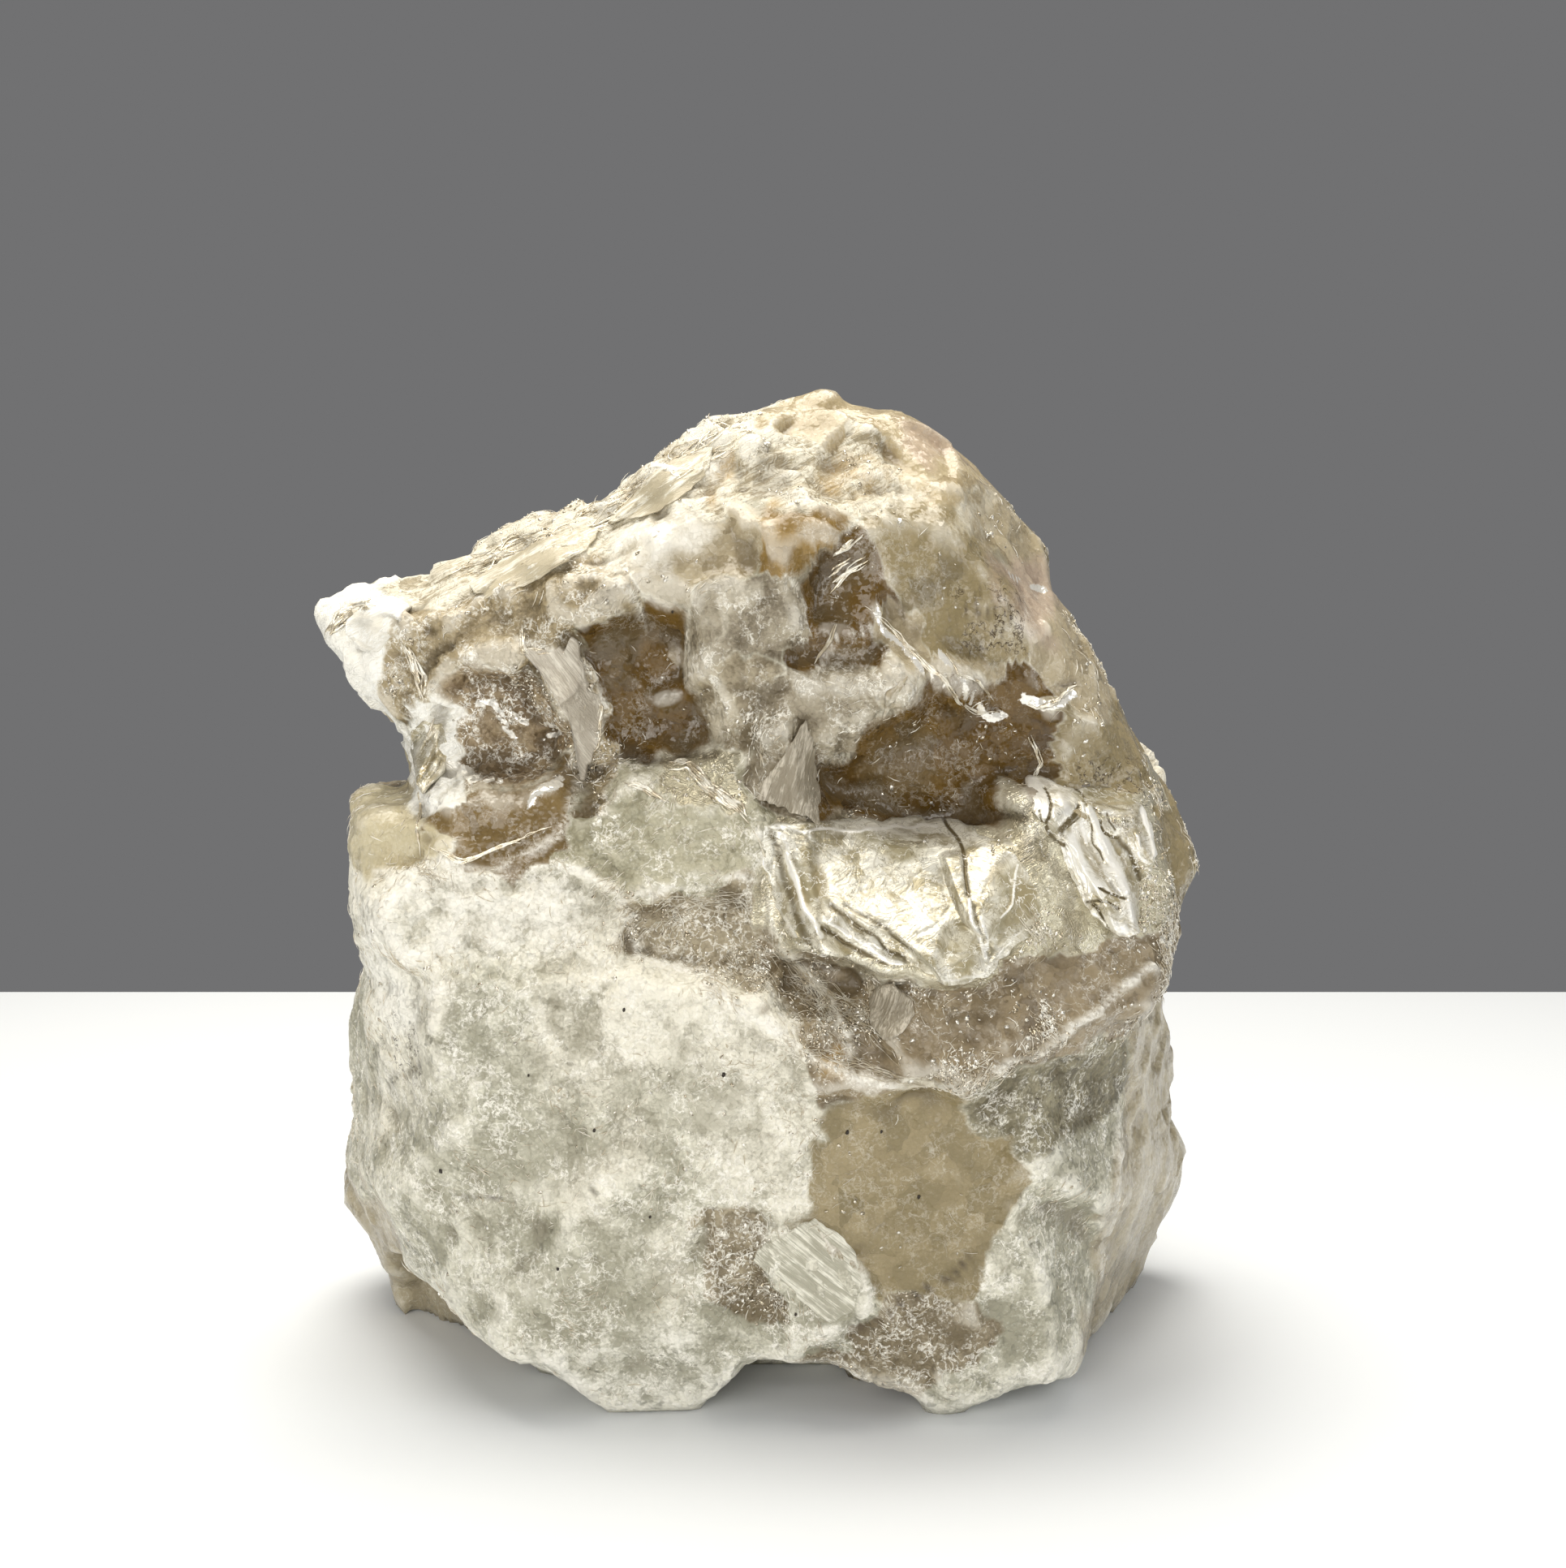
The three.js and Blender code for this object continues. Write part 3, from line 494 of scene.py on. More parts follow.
# %% [markdown]
# ## Which mineral is where
# The colours could be painted by hand on an image, but a part in a library
# should stay a rule. Each corner gets its share of every mineral from the
# same grains as the form, looked up at a place shaken by noise, so that the
# borders are ragged as in a real intergrowth. Behind the rim, where the
# tables end, cells of space 6 mm wide choose the minerals at random.

# %% Shares of every mineral at every corner
# Which mineral a cell behind the rim holds, by the cell's own number from 0 to 1
BEHIND = {"albite": (0, 0.42), "green": (0.42, 0.55), "tan": (0.55, 0.68), "milky": (0.68, 0.76),
          "smoky": (0.76, 0.84), "silver": (0.84, 0.88), "scales": (0.88, 0.94), "cream": (0.94, 1.01)}
# How much smoother than the rest a glassy mineral is, and the minerals with silky streaks
GLASSY = {"amber": 0.3, "brown": 0.36, "clear": 0.3, "tan": 0.34, "smoky": 0.38, "milky": 0.3, "honey": 0.3,
          "dusk": 0.3, "silver": 0.3, "scales": 0.2}
STRIATED = ("cream", "pearl", "silver")
# Degrees of turn at which the minerals of the front end, how far noise moves that
# border, and how wide it is
RIM_TURN, RIM_SHAKE, RIM_BLEND = 96, 12, 8
ragged = lump.copy()
for size, reach in ((1.6, 0.6), (0.7, 0.35), (0.35, 0.18)):
    for axis in (0, 2):
        ragged[:, axis] += reach * mist(lump, size, salt=20 + axis + size)
front_weights = grain_weights(front_rows, ragged[:, 0], ragged[:, 2], crispness=7)
_, behind_shares = cells(ragged, size=6, crispness=25, tilt=0, step=0, picks=BEHIND.values())
degrees_left = RIM_TURN - np.degrees(turn) + RIM_SHAKE * mist(lump, 2.5, salt=31)
ahead = np.clip(degrees_left / RIM_BLEND + 0.5, 0, 1)
shares = {}
for mineral in MINERALS:
    in_front = sum(w for w, row in zip(front_weights, front_rows) if row[-1] == mineral)
    behind = dict(zip(BEHIND, behind_shares)).get(mineral, 0)
    share = ahead * in_front + (1 - ahead) * behind
    shares[mineral] = share + steep * (spread_out(share, faces, passes=5) - share)
for mineral, share in shares.items():
    print(f"{mineral:7s} covers {share.mean():.0%}")
shares["streaky"] = sum(shares[mineral] for mineral in STRIATED)
shares["coarse"] = np.maximum(1 - 0.7 * sum(shares[mineral] for mineral in GLASSY)
                              - 0.6 * shares["streaky"], 0)

# %% Stains, veins, and patches of painted shade and painted light: x, z, half width, half height, turn, kind
STAINS_AND_PAINTED_LIGHT = {
    "roof_yellow": (-1.4, 30.6, 0.6, 0.7, 20, "ochre"),
    "roof_brown": (2.8, 30.7, 0.9, 1.0, 30, "ochre"),
    "lens_edge": (0.2, 29.5, 1.8, 0.5, 0, "ochre"),
    "band_ochre": (1.6, 12.6, 0.6, 0.4, 0, "ochre"),
    "book_ochre": (4.8, 15.7, 0.6, 0.4, 0, "ochre"),
    "face_ochre": (-10.2, 13.9, 0.6, 0.5, 30, "ochre"),
    "roof_lilac": (5.6, 31.9, 1.2, 0.7, -30, "rose"),
    "rim_lilac": (8.9, 26.7, 0.8, 1.5, 35, "rose"),
    "veins_right": (7.6, 25.8, 1.6, 1.2, -30, "veins"),
    "veins_corner": (12.0, 20.6, 0.9, 1.0, 0, "veins"),
    "crack_left": (-11.6, 12.3, 0.8, 0.8, 40, "veins"),
    "specks_right": (9.2, 10.6, 0.7, 0.8, 0, "veins"),
    "white_brow": (-9.0, 16.7, 3.4, 1.2, 0, "white"),
    "white_left": (-12.0, 14.6, 1.0, 2.0, 0, "white"),
    # white_horn: pale mica with painted highlight
    "white_horn": (-13.7, 25.6, 1.0, 1.3, 30, "white"),
    "white_wedge": (-3.4, 28.3, 1.6, 0.8, 22, "white"),
    "white_roof": (-3.2, 30.4, 2.6, 0.6, 30, "white"),
    "white_foot": (-4.5, 2.2, 3.0, 1.0, 0, "white"),
    # light: painted light on lit crests, brows, planes and facets of the upper face, and some pale streaks
    "light_streak": (-0.7, 26.5, 1.2, 0.4, 50, "light"),
    "light_left": (-2.2, 24.9, 0.9, 0.3, -30, "light"),
    "light_seam": (-1.0, 23.6, 0.3, 1.4, 0, "light"),
    "light_wedge": (-3.3, 28.3, 1.8, 0.6, 25, "light"),
    "light_rib": (3.1, 29.5, 1.4, 0.2, -12, "light"),
    "light_plane": (4.6, 30.0, 1.5, 0.3, 28, "light"),
    "light_facet": (6.9, 29.3, 0.8, 0.5, 35, "light"),
    "light_yellow": (-1.0, 30.7, 0.5, 0.7, 0, "light"),
    "light_brow": (-8.5, 28.5, 0.8, 0.2, 38, "light"),
    "light_silk": (-6.5, 28.3, 1.1, 0.4, 28, "light"),
    "light_top": (-2.7, 29.0, 1.6, 0.3, 25, "light"),
    "light_crest": (-2.1, 31.5, 1.0, 0.5, 30, "light"),
    "light_shiny": (-8.7, 27.3, 0.4, 0.3, 20, "light"),
    # shade: painted shade in hollows, pits, recesses, gullies, creases and the gaps between the books, and a
    # few darker spots
    "shade_spots": (0.8, 23.0, 0.8, 0.3, 0, "shade"),
    "shade_middle": (-0.2, 23.9, 0.5, 0.8, 0, "shade"),
    "shade_window": (2.9, 24.9, 0.9, 0.5, 25, "shade"),
    "shade_recess": (-2.2, 22.1, 0.9, 0.4, 0, "shade"),
    "shade_cleft": (-1.7, 23.4, 0.2, 0.7, -25, "shade"),
    "shade_pit": (2.9, 27.2, 1.1, 0.5, 30, "shade"),
    "shade_olive": (-4.4, 25.0, 0.8, 1.1, 0, "shade"),
    "shade_hollow": (4.4, 20.9, 1.2, 1.2, 0, "shade"),
    "shade_fibres": (0.6, 30.7, 0.6, 0.7, 0, "shade"),
    "shade_tan": (5.4, 27.1, 1.2, 0.6, 25, "shade"),
    "shade_flap": (-5.2, 26.8, 0.4, 0.5, -30, "shade"),
    "shade_gully": (-6.9, 27.0, 1.2, 0.2, 25, "shade"),
    "shade_gap": (8.7, 18.9, 0.8, 0.8, 0, "shade"),
    "shade_crease": (9.5, 17.4, 0.5, 1.3, 20, "shade"),
    "shade_low": (-0.1, 22.2, 1.0, 0.9, 0, "shade"),
    "shade_dot": (-3.0, 23.4, 0.5, 0.5, 0, "shade"),
    "grey_foot": (-4.4, 5.2, 3.4, 1.3, 10, "grey"),
    "grey_middle": (-6.6, 9.4, 2.2, 1.0, 30, "grey"),
    "grey_right": (-1.2, 11.2, 1.4, 1.0, -30, "grey"),
    "grey_plate": (10.2, 8.6, 1.4, 1.0, 0, "grey"),
    "grey_left": (-10.8, 10.6, 1.2, 1.6, 0, "grey"),
}
FADED_AT = 1.6  # squared distance from a spot's middle at which it has faded away
for kind in ("ochre", "rose", "veins", "white", "grey", "light", "shade"):
    rows = [row for row in STAINS_AND_PAINTED_LIGHT.values() if row[-1] == kind]
    nearest = grain_distances(rows, ragged[:, 0], ragged[:, 2]).min(0)
    shares[kind] = ahead * np.clip(FADED_AT - nearest, 0, 1)
print(len(STAINS_AND_PAINTED_LIGHT), "stains and vein fields")

# %% Seams: kind, width, rise in mm, points (x, z). Pale ribs stand out, dark cracks cut in; the dark hollow floor and crevice are painted shade, and the gleams are painted glints
SEAMS = {
    "book_rib": ("pale", 0.16, 0.14, ((-0.2, 19.3), (0.2, 17.8), (0.5, 16.5), (1.3, 15.2), (2.2, 14.0),
                                      (2.8, 12.7))),
    "band_lip": ("pale", 0.13, 0.16, ((1.3, 12.8), (2.7, 12.0), (4.4, 11.6), (6.4, 11.8), (8.7, 12.7),
                                      (10.9, 13.9), (12.6, 14.9))),
    "lens_rim": ("pale", 0.12, 0.08, ((-10.0, 18.4), (-8.5, 18.3), (-7.0, 18.9), (-6.1, 19.5), (-5.9, 20.8))),
    "lilac_top": ("pale", 0.10, 0.06, ((-3.8, 17.4), (-2.4, 17.8), (-0.8, 17.9), (0.3, 17.5))),
    "face_top": ("pale", 0.14, 0.08, ((-12.2, 17.8), (-10.4, 18.0), (-8.3, 18.1), (-6.1, 18.3), (-4.3, 17.4),
                                      (-3.6, 15.3), (-1.8, 15.0), (0.2, 13.8), (1.3, 12.8))),
    "face_step": ("pale", 0.16, 0.12, ((-12.3, 15.9), (-10.9, 15.3), (-10.2, 14.4), (-9.4, 14.7))),
    "plate_edge": ("pale", 0.12, 0.12, ((0.2, 6.6), (1.7, 6.9), (3.1, 5.8), (3.4, 4.8), (3.0, 3.7),
                                        (1.7, 3.4))),
    "web_edge": ("pale", 0.14, 0.10, ((-7.6, 25.3), (-6.3, 25.1), (-5.3, 23.8), (-5.2, 22.5), (-6.1, 21.2))),
    "flap_edge": ("pale", 0.10, 0.10, ((-6.0, 27.3), (-5.0, 27.5), (-4.2, 26.9), (-3.7, 25.6))),
    "right_layer": ("pale", 0.12, 0.10, ((11.7, 9.6), (12.2, 8.0), (12.1, 5.8), (11.6, 3.5))),
    "window_edge": ("pale", 0.08, 0.05, ((2.0, 24.3), (2.6, 25.6), (3.8, 25.8))),
    "patch_crack": ("dark", 0.07, -0.12, ((3.0, 3.4), (4.3, 4.1), (5.5, 4.9), (6.8, 6.0))),
    "left_crack": ("dark", 0.06, -0.08, ((-12.3, 10.6), (-11.7, 11.2), (-11.0, 11.7), (-10.8, 12.3))),
    # painted shade along the floor of the hollow
    "hollow_floor": ("dark", 0.16, -0.15, ((1.7, 19.6), (3.3, 19.3), (5.1, 19.3), (6.9, 19.4), (8.5, 19.9),
                                           (9.3, 20.5))),
    "long_gleam": ("gleam", 0.11, 0.08, ((3.8, 26.4), (4.2, 25.7), (4.7, 25.2), (5.1, 24.7), (5.7, 24.2),
                                         (6.2, 23.8))),
    "arc_gleam": ("gleam", 0.09, 0.08, ((5.9, 25.0), (6.2, 24.4), (6.6, 23.9), (6.7, 23.4), (7.1, 22.9),
                                        (7.5, 22.8), (8.0, 22.9))),
    "glint_left": ("gleam", 0.18, 0.06, ((8.6, 23.4), (9.0, 23.2), (9.5, 23.1))),
    "glint_right": ("gleam", 0.2, 0.08, ((9.6, 23.2), (9.9, 23.3), (10.4, 23.6))),
    "rim_glint": ("gleam", 0.12, 0.03, ((9.2, 27.0), (9.6, 26.9))),
    "plane_glint": ("gleam", 0.10, 0.02, ((8.2, 27.4), (8.6, 27.4))),
    "bowl_left": ("gleam", 0.12, 0.06, ((-9.3, 23.0), (-8.8, 23.3), (-8.4, 22.7), (-8.1, 22.1))),
    "bowl_top": ("gleam", 0.10, 0.05, ((-8.0, 22.9), (-7.6, 22.5))),
    "bowl_right": ("gleam", 0.10, 0.05, ((-7.1, 22.6), (-6.7, 22.5), (-6.7, 22.2), (-7.1, 22.1))),
    "bowl_rim": ("gleam", 0.14, 0.05, ((-10.2, 21.4), (-9.2, 21.0), (-8.3, 21.0))),
    "lens_top": ("gleam", 0.12, 0.05, ((-7.5, 20.2), (-6.9, 20.7), (-6.5, 20.8))),
    "vein_1": ("dark", 0.06, -0.03, ((6.3, 26.0), (6.4, 26.1), (6.6, 26.4), (7.0, 26.4), (7.1, 26.6),
                                     (7.3, 26.9))),
    "vein_2": ("dark", 0.05, -0.03, ((7.0, 26.4), (7.4, 26.2), (7.7, 26.4))),
    "vein_3": ("dark", 0.06, -0.03, ((8.1, 26.4), (8.2, 26.2), (8.4, 26.3), (8.7, 26.5))),
    "vein_4": ("dark", 0.05, -0.03, ((8.2, 26.2), (7.9, 25.7), (7.8, 25.5), (7.9, 25.1))),
    "vein_5": ("dark", 0.07, -0.05, ((8.3, 24.6), (8.6, 24.0))),
    "vein_6": ("dark", 0.10, -0.05, ((9.0, 22.5), (9.3, 22.5), (9.4, 22.0))),
    "vein_7": ("dark", 0.10, -0.05, ((10.1, 23.9), (10.6, 23.9))),
    "hair_1": ("dark", 0.05, -0.03, ((-5.7, 9.9), (-5.1, 10.3))),
    "hair_2": ("dark", 0.05, -0.03, ((-9.5, 7.7), (-8.6, 7.8), (-7.7, 8.2))),
    "hair_3": ("dark", 0.05, -0.03, ((-5.2, 7.8), (-4.9, 8.3))),
    # painted shade in the crevice
    "left_crevice": ("dark", 0.14, -0.12, ((-6.1, 21.1), (-4.6, 21.4), (-3.0, 21.5), (-1.4, 21.7))),
}


FAR_OFF = 99.0


def line_distance(x, z, points):
    """Distance to a broken line: the least over its straight stretches."""
    found = np.full(x.shape, FAR_OFF)
    for (ax, az), (bx, bz) in zip(points, points[1:]):
        dx, dz = bx - ax, bz - az
        t = np.clip(((x - ax) * dx + (z - az) * dz) / (dx * dx + dz * dz), 0, 1)
        found = np.minimum(found, np.hypot(x - ax - t * dx, z - az - t * dz))
    return found


seam_rise = np.zeros(len(lump))
for kind in ("pale", "dark", "gleam"):
    shares[kind] = np.zeros(len(lump))
wander = lump + 0.35 * (ragged - lump)
for kind, width, seam_height, points in SEAMS.values():
    near = ahead * np.exp(-(line_distance(wander[:, 0], wander[:, 2], points) / width) ** 2)
    shares[kind] = np.maximum(shares[kind], near)
    seam_rise += seam_height * near
print(len(SEAMS), "seams")

# %% [markdown]
# ## The broken surface
# A modifier with a noise texture would rumple every mineral alike. Each one
# breaks in its own way: albite into sugary steps, quartz into smooth shells,
# fine mica into tilted scales. So five reliefs are worked out, and each
# mineral takes its own amount of each, along the surface's normal.

# %% Five reliefs in mm, and how much of each a mineral takes
steps, _ = cells(lump, size=1.2, crispness=40, tilt=0.36, step=0.1)
scales, _ = cells(lump, size=0.45, crispness=40, tilt=0.6, step=0.16)
shells, _ = cells(lump, size=1.9, crispness=24, tilt=0.55, step=0.04)
sugar = 0.03 * mist(lump, 0.42, salt=41) + 0.02 * mist(lump, 0.2, salt=42)
ribs = 0.10 * creases(lump[:, 0], lump[:, 2], turn=24, length=2.2, spacing=0.42, width=0.45, salt=43)
ribs -= 0.08 * creases(lump[:, 0], lump[:, 2], turn=18, length=1.5, spacing=0.3, width=0.2, salt=45)
TAKES = {  # steps, scales, shells, sugar, ribs
    "albite": (0.4, 0.15, 0.3, 0.4, 0), "amber": (0.2, 0.05, 0.5, 0.2, 0),
    "brown": (0.15, 0.1, 0.4, 0.25, 0), "cool": (0.4, 0.2, 0.4, 0.3, 0),
    "clear": (0.1, 0.05, 1.0, 0.1, 0), "cream": (0.1, 0.03, 0.7, 0.06, 1.5),
    "foil": (0.5, 0.8, 0, 0.6, 0), "green": (0.5, 0.3, 0.2, 0.6, 0),
    "honey": (0.3, 0.2, 0.5, 0.3, 0), "lilac": (0.3, 0.4, 0.3, 0.6, 0), "milky": (0.3, 0.15, 0.5, 0.3, 0),
    "pearl": (1.2, 0.5, 0.8, 0.3, 0.5), "scales": (0.4, 0.7, 0, 0.8, 0), "silver": (0.1, 0.3, 0, 0.3, 0.3),
    "slate": (0.3, 0.3, 0.2, 0.6, 0), "smoky": (0.1, 0.08, 0.45, 0.15, 0), "tan": (0.15, 0.1, 0.3, 0.25, 0),
    "veil": (0.5, 0.5, 0.9, 0.4, 0.3), "dusk": (0.3, 0.2, 0.5, 0.3, 0),
}
rise = seam_rise.copy()
for mineral, amounts in TAKES.items():
    relief = sum(a * r for a, r in zip(amounts, (steps, scales, shells, sugar, ribs)))
    rise += shares[mineral] * relief
rise *= np.clip(lump[:, 2] / RELIEF_FADE, 0, 1)
lump += normals_of(lump, faces) * rise[:, None]
lump[:, 2] = np.where(on_base, 0, np.maximum(lump[:, 2], 0))
print("relief from", round(rise.min(), 2), "to", round(rise.max(), 2), "mm")

# %% [markdown]
# ## Edges and clouds
# Thin edges of a translucent crystal look bright, because light comes out
# there, so the finish paints them lighter as painted light, and darkens the
# corners with painted shade. How far a corner stands out from the mean of its
# neighbours tells which is which. It is stored with two slow clouds of noise,
# so that the shader has less to work out for every ray.

# %% Edge and clouds at every corner
EDGE_GAIN, WIDE_EDGE_GAIN = 8, 3
normals = normals_of(lump, faces)
edge = ((lump - relaxed(lump, faces, passes=2)) * normals).sum(1)
edge_wide = ((lump - relaxed(lump, faces, passes=9)) * normals).sum(1)
edges = spread_out(EDGE_GAIN * edge + WIDE_EDGE_GAIN * edge_wide, faces, passes=2)
shares["edge"] = np.clip(0.5 + edges, 0, 1)
shares["broad"] = 0.5 + 0.33 * mist(lump, 2.8, salt=51) + 0.17 * mist(lump, 1.3, salt=52)
# Above this height the albite is painted whiter, and below it darker and greener: painted shade towards the
# floor
WHITER_FROM, WHITER_OVER = 11, 7
shares["broad"] += 0.26 * np.clip((lump[:, 2] - WHITER_FROM) / WHITER_OVER, -1, 0.5)
shares["middle"] = 0.5 + 0.33 * mist(lump, 0.8, salt=53) + 0.17 * mist(lump, 0.4, salt=54)
print("edge values: mean", round(shares["edge"].mean(), 2), "spread", round(shares["edge"].std(), 2))

# %% [markdown]
# ## Into the frame
# The tables were drawn about their own zero. The CAD solid is centred on its
# box, so the same shift centres this surface. Every later piece takes that
# shift too, and its place goes into its mesh, never onto its object.

# %% Shift, and arrays to objects
box_low, box_high = (np.array(corner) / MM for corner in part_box(LUMP_NODE))
SHIFT = (box_low + box_high) / 2 - (lump.min(0) + lump.max(0)) / 2
SHIFT[2] = 0


def add_piece(name, points, polygons, finish, slot, point_values=None):
    """A mesh object from points in mm and polygons that all have as many corners."""
    mesh = bpy.data.meshes.new(name)
    mesh.vertices.add(len(points))
    mesh.vertices.foreach_set("co", ((points + SHIFT) * MM).ravel())
    mesh.loops.add(polygons.size)
    mesh.loops.foreach_set("vertex_index", polygons.ravel())
    mesh.polygons.add(len(polygons))
    mesh.polygons.foreach_set("loop_start", np.arange(0, polygons.size, polygons.shape[1]))
    mesh.polygons.foreach_set("use_smooth", np.ones(len(polygons), bool))
    for key, values in (point_values or {}).items():
        mesh.attributes.new(key, "FLOAT", "POINT").data.foreach_set("value", values)
    mesh.update(calc_edges=True)
    mesh.validate()
    mesh.materials.append(finish)
    piece = bpy.data.objects.new(name, mesh)
    bpy.context.scene.collection.objects.link(piece)
    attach(piece, BODY)
    print(name, "has", len(polygons) * (polygons.shape[1] - 2), "triangles")
    return piece


# %% [markdown]
# ## Shader maths as sums
# Node trees are quickest to read as formulas. This class wraps one output
# socket, so that `1 - mask * 0.5` adds the Math nodes for it. Everything
# else comes from `node`, which sets the settings first and then the inputs.

# %% The wrapper
class Signal:
    """One output socket. Its operators add Math nodes to the tree in use."""

    tree = None

    def __init__(self, socket):
        self.socket = socket

    @classmethod
    def node(cls, kind, settings=None, inputs=None, output=0):
        """A new node with its settings and inputs, as a signal from one output."""
        made = cls.tree.nodes.new(kind)
        for key, value in (settings or {}).items():
            setattr(made, key, value)
        for key, value in (inputs or {}).items():
            socket = made.inputs[key] if isinstance(key, int) else cls.named(made.inputs, key)
            if isinstance(value, Signal):
                cls.tree.links.new(value.socket, socket)
            else:
                socket.default_value = value
        return cls(made.outputs[output] if isinstance(output, int) else cls.named(made.outputs, output))

    @staticmethod
    def named(sockets, name):
        """The socket of that name that the node's settings leave in use."""
        return next(s for s in sockets if s.name == name and s.enabled)

    @staticmethod
    def maths(operation, a, b):
        """One Math node on two inputs."""
        return Signal.node("ShaderNodeMath", {"operation": operation}, {0: a, 1: b})

    def __add__(self, other):
        return self.maths("ADD", self, other)

    def __sub__(self, other):
        return self.maths("SUBTRACT", self, other)

    def __rsub__(self, other):
        return self.maths("SUBTRACT", other, self)

    def __mul__(self, other):
        return self.maths("MULTIPLY", self, other)

    __radd__ = __add__


# %% Words built on it
def step(value, low, high):
    """0 below low, 1 above high, smooth between."""
    return Signal.node("ShaderNodeMapRange", {"interpolation_type": "SMOOTHSTEP"},
                       {"Value": value, "From Min": low, "From Max": high}, "Result")


def mix(factor, a, b):
    """Colour a where the factor is 0, colour b where it is 1."""
    pair = [c if isinstance(c, Signal) else (*c, 1.0) for c in (a, b)]
    return Signal.node("ShaderNodeMix", {"data_type": "RGBA"},
                       {"Factor": factor, "A": pair[0], "B": pair[1]}, "Result")


def vector(operation, a, b):
    """One Vector Math node. A dot product gives a number, all else a vector."""
    return Signal.node("ShaderNodeVectorMath", {"operation": operation}, {0: a, 1: b},
                       "Value" if operation == "DOT_PRODUCT" else "Vector")


def place(stretch=(1, 1, 1), turn=(0, 0, 0)):
    """Object coordinates in mm, turned back by the turn and then divided by the stretch."""
    here = Signal.node("ShaderNodeTexCoord", output="Object")
    return Signal.node("ShaderNodeMapping", {"vector_type": "TEXTURE"}, {
        "Vector": here, "Rotation": turn, "Scale": [MM * s for s in stretch]}, "Vector")


def cloud(where, size, detail=3.0, salt=0.0):
    """Noise about 0.5, with patches of about the size in mm."""
    moved = vector("ADD", where, (salt, salt * 1.7, -salt))
    return Signal.node("ShaderNodeTexNoise", {}, {
        "Vector": moved, "Scale": 1 / size, "Detail": detail, "Roughness": 0.6})


def bent(where, size, reach):
    """The place moved by up to half the reach in mm, so that straight patterns wander."""
    wave = Signal.node("ShaderNodeTexNoise", {}, {"Vector": where, "Scale": 1 / size, "Detail": 1.0}, "Color")
    return vector("ADD", where, vector("MULTIPLY", vector("SUBTRACT", wave, (0.5,) * 3), (reach,) * 3))


def facets(where, size, tilt):
    """Random planes, one in each Voronoi cell. Returns the height in metres,
    (place - cell's middle) . (random tilt), the cell's random tone, and the
    distance in mm along the cell's own direction."""
    scaled = vector("MULTIPLY", where, (1 / size,) * 3)
    cell = Signal.node("ShaderNodeTexVoronoi", {}, {"Vector": scaled, "Scale": 1.0}, "Position")
    tone = Signal(cell.socket.node.outputs["Color"])
    away, lean = vector("SUBTRACT", scaled, cell), vector("SUBTRACT", tone, (0.5,) * 3)
    height = vector("DOT_PRODUCT", away, lean) * (size * MM * tilt)
    along = vector("DOT_PRODUCT", away, vector("NORMALIZE", lean, (0,) * 3)) * size
    return height, tone, along


def striae(along, tone, spacing):
    """Fine parallel lines across a distance in mm, other ones for every cell's tone."""
    moved = along * (1 / spacing) + tone * 40
    return Signal.node("ShaderNodeTexNoise", {"noise_dimensions": "1D"},
                       {"W": moved, "Scale": 1.0, "Detail": 1.0})


def strokes(length, width, turn, salt):
    """Short wavy brush strokes along the turn in the x-z plane: stretched noise about 0.5."""
    along = bent(place((length, 2 * width, width), (0, -turn, 0)), 2, 1.6)
    return cloud(along, 1, 3, salt)


def channel(colour, number):
    """Red, green or blue of a colour as a number: its dot product with a unit vector."""
    return vector("DOT_PRODUCT", colour, tuple(float(k == number) for k in range(3)))


def three_clouds(where, size):
    """Three unrelated noises about 0.5 in one colour."""
    return Signal.node("ShaderNodeTexNoise", {}, {
        "Vector": where, "Scale": 1 / size, "Detail": 4.0, "Roughness": 0.6}, "Color")


def ridge(value, width):
    """1 where a noise passes 0.5, 0 further off than the width: thin winding lines."""
    away = Signal.node("ShaderNodeMath", {"operation": "ABSOLUTE"}, {0: value - 0.5})
    return 1 - step(away, 0.0, width)


def bumped(height):
    """The normal of a surface with this height in metres."""
    return Signal.node("ShaderNodeBump", {}, {"Strength": 1.0, "Distance": 1.0, "Height": height}, "Normal")


def share_of(name):
    """A value that add_piece stored at the corners."""
    return Signal.node("ShaderNodeAttribute", {"attribute_name": name}, {}, "Fac")


def new_finish(name):
    """A material with an empty tree in use, and its Principled BSDF."""
    finish = bpy.data.materials.new(name)
    finish.use_nodes = True
    Signal.tree = finish.node_tree
    shader = finish.node_tree.nodes["Principled BSDF"]
    return finish, shader


def feed(shader, **values):
    """Link or set sockets; double words are written with an underscore."""
    for key, value in values.items():
        socket = shader.inputs[key.replace("_", " ")]
        if isinstance(value, Signal):
            Signal.tree.links.new(value.socket, socket)
        else:
            socket.default_value = value


print("shader words ready")

# %% [markdown]
# ## The finish of the lump
# One material covers the lump, because its minerals grow into each other. It
# reads the shares, sharpens each into a ragged mask and lays the minerals
# over white albite one by one. Two tones of each mineral are mixed by noise.
# The micro-relief is made of tiny tilted planes, which glitter as broken
# crystal does, while plain noise would only look like plaster.

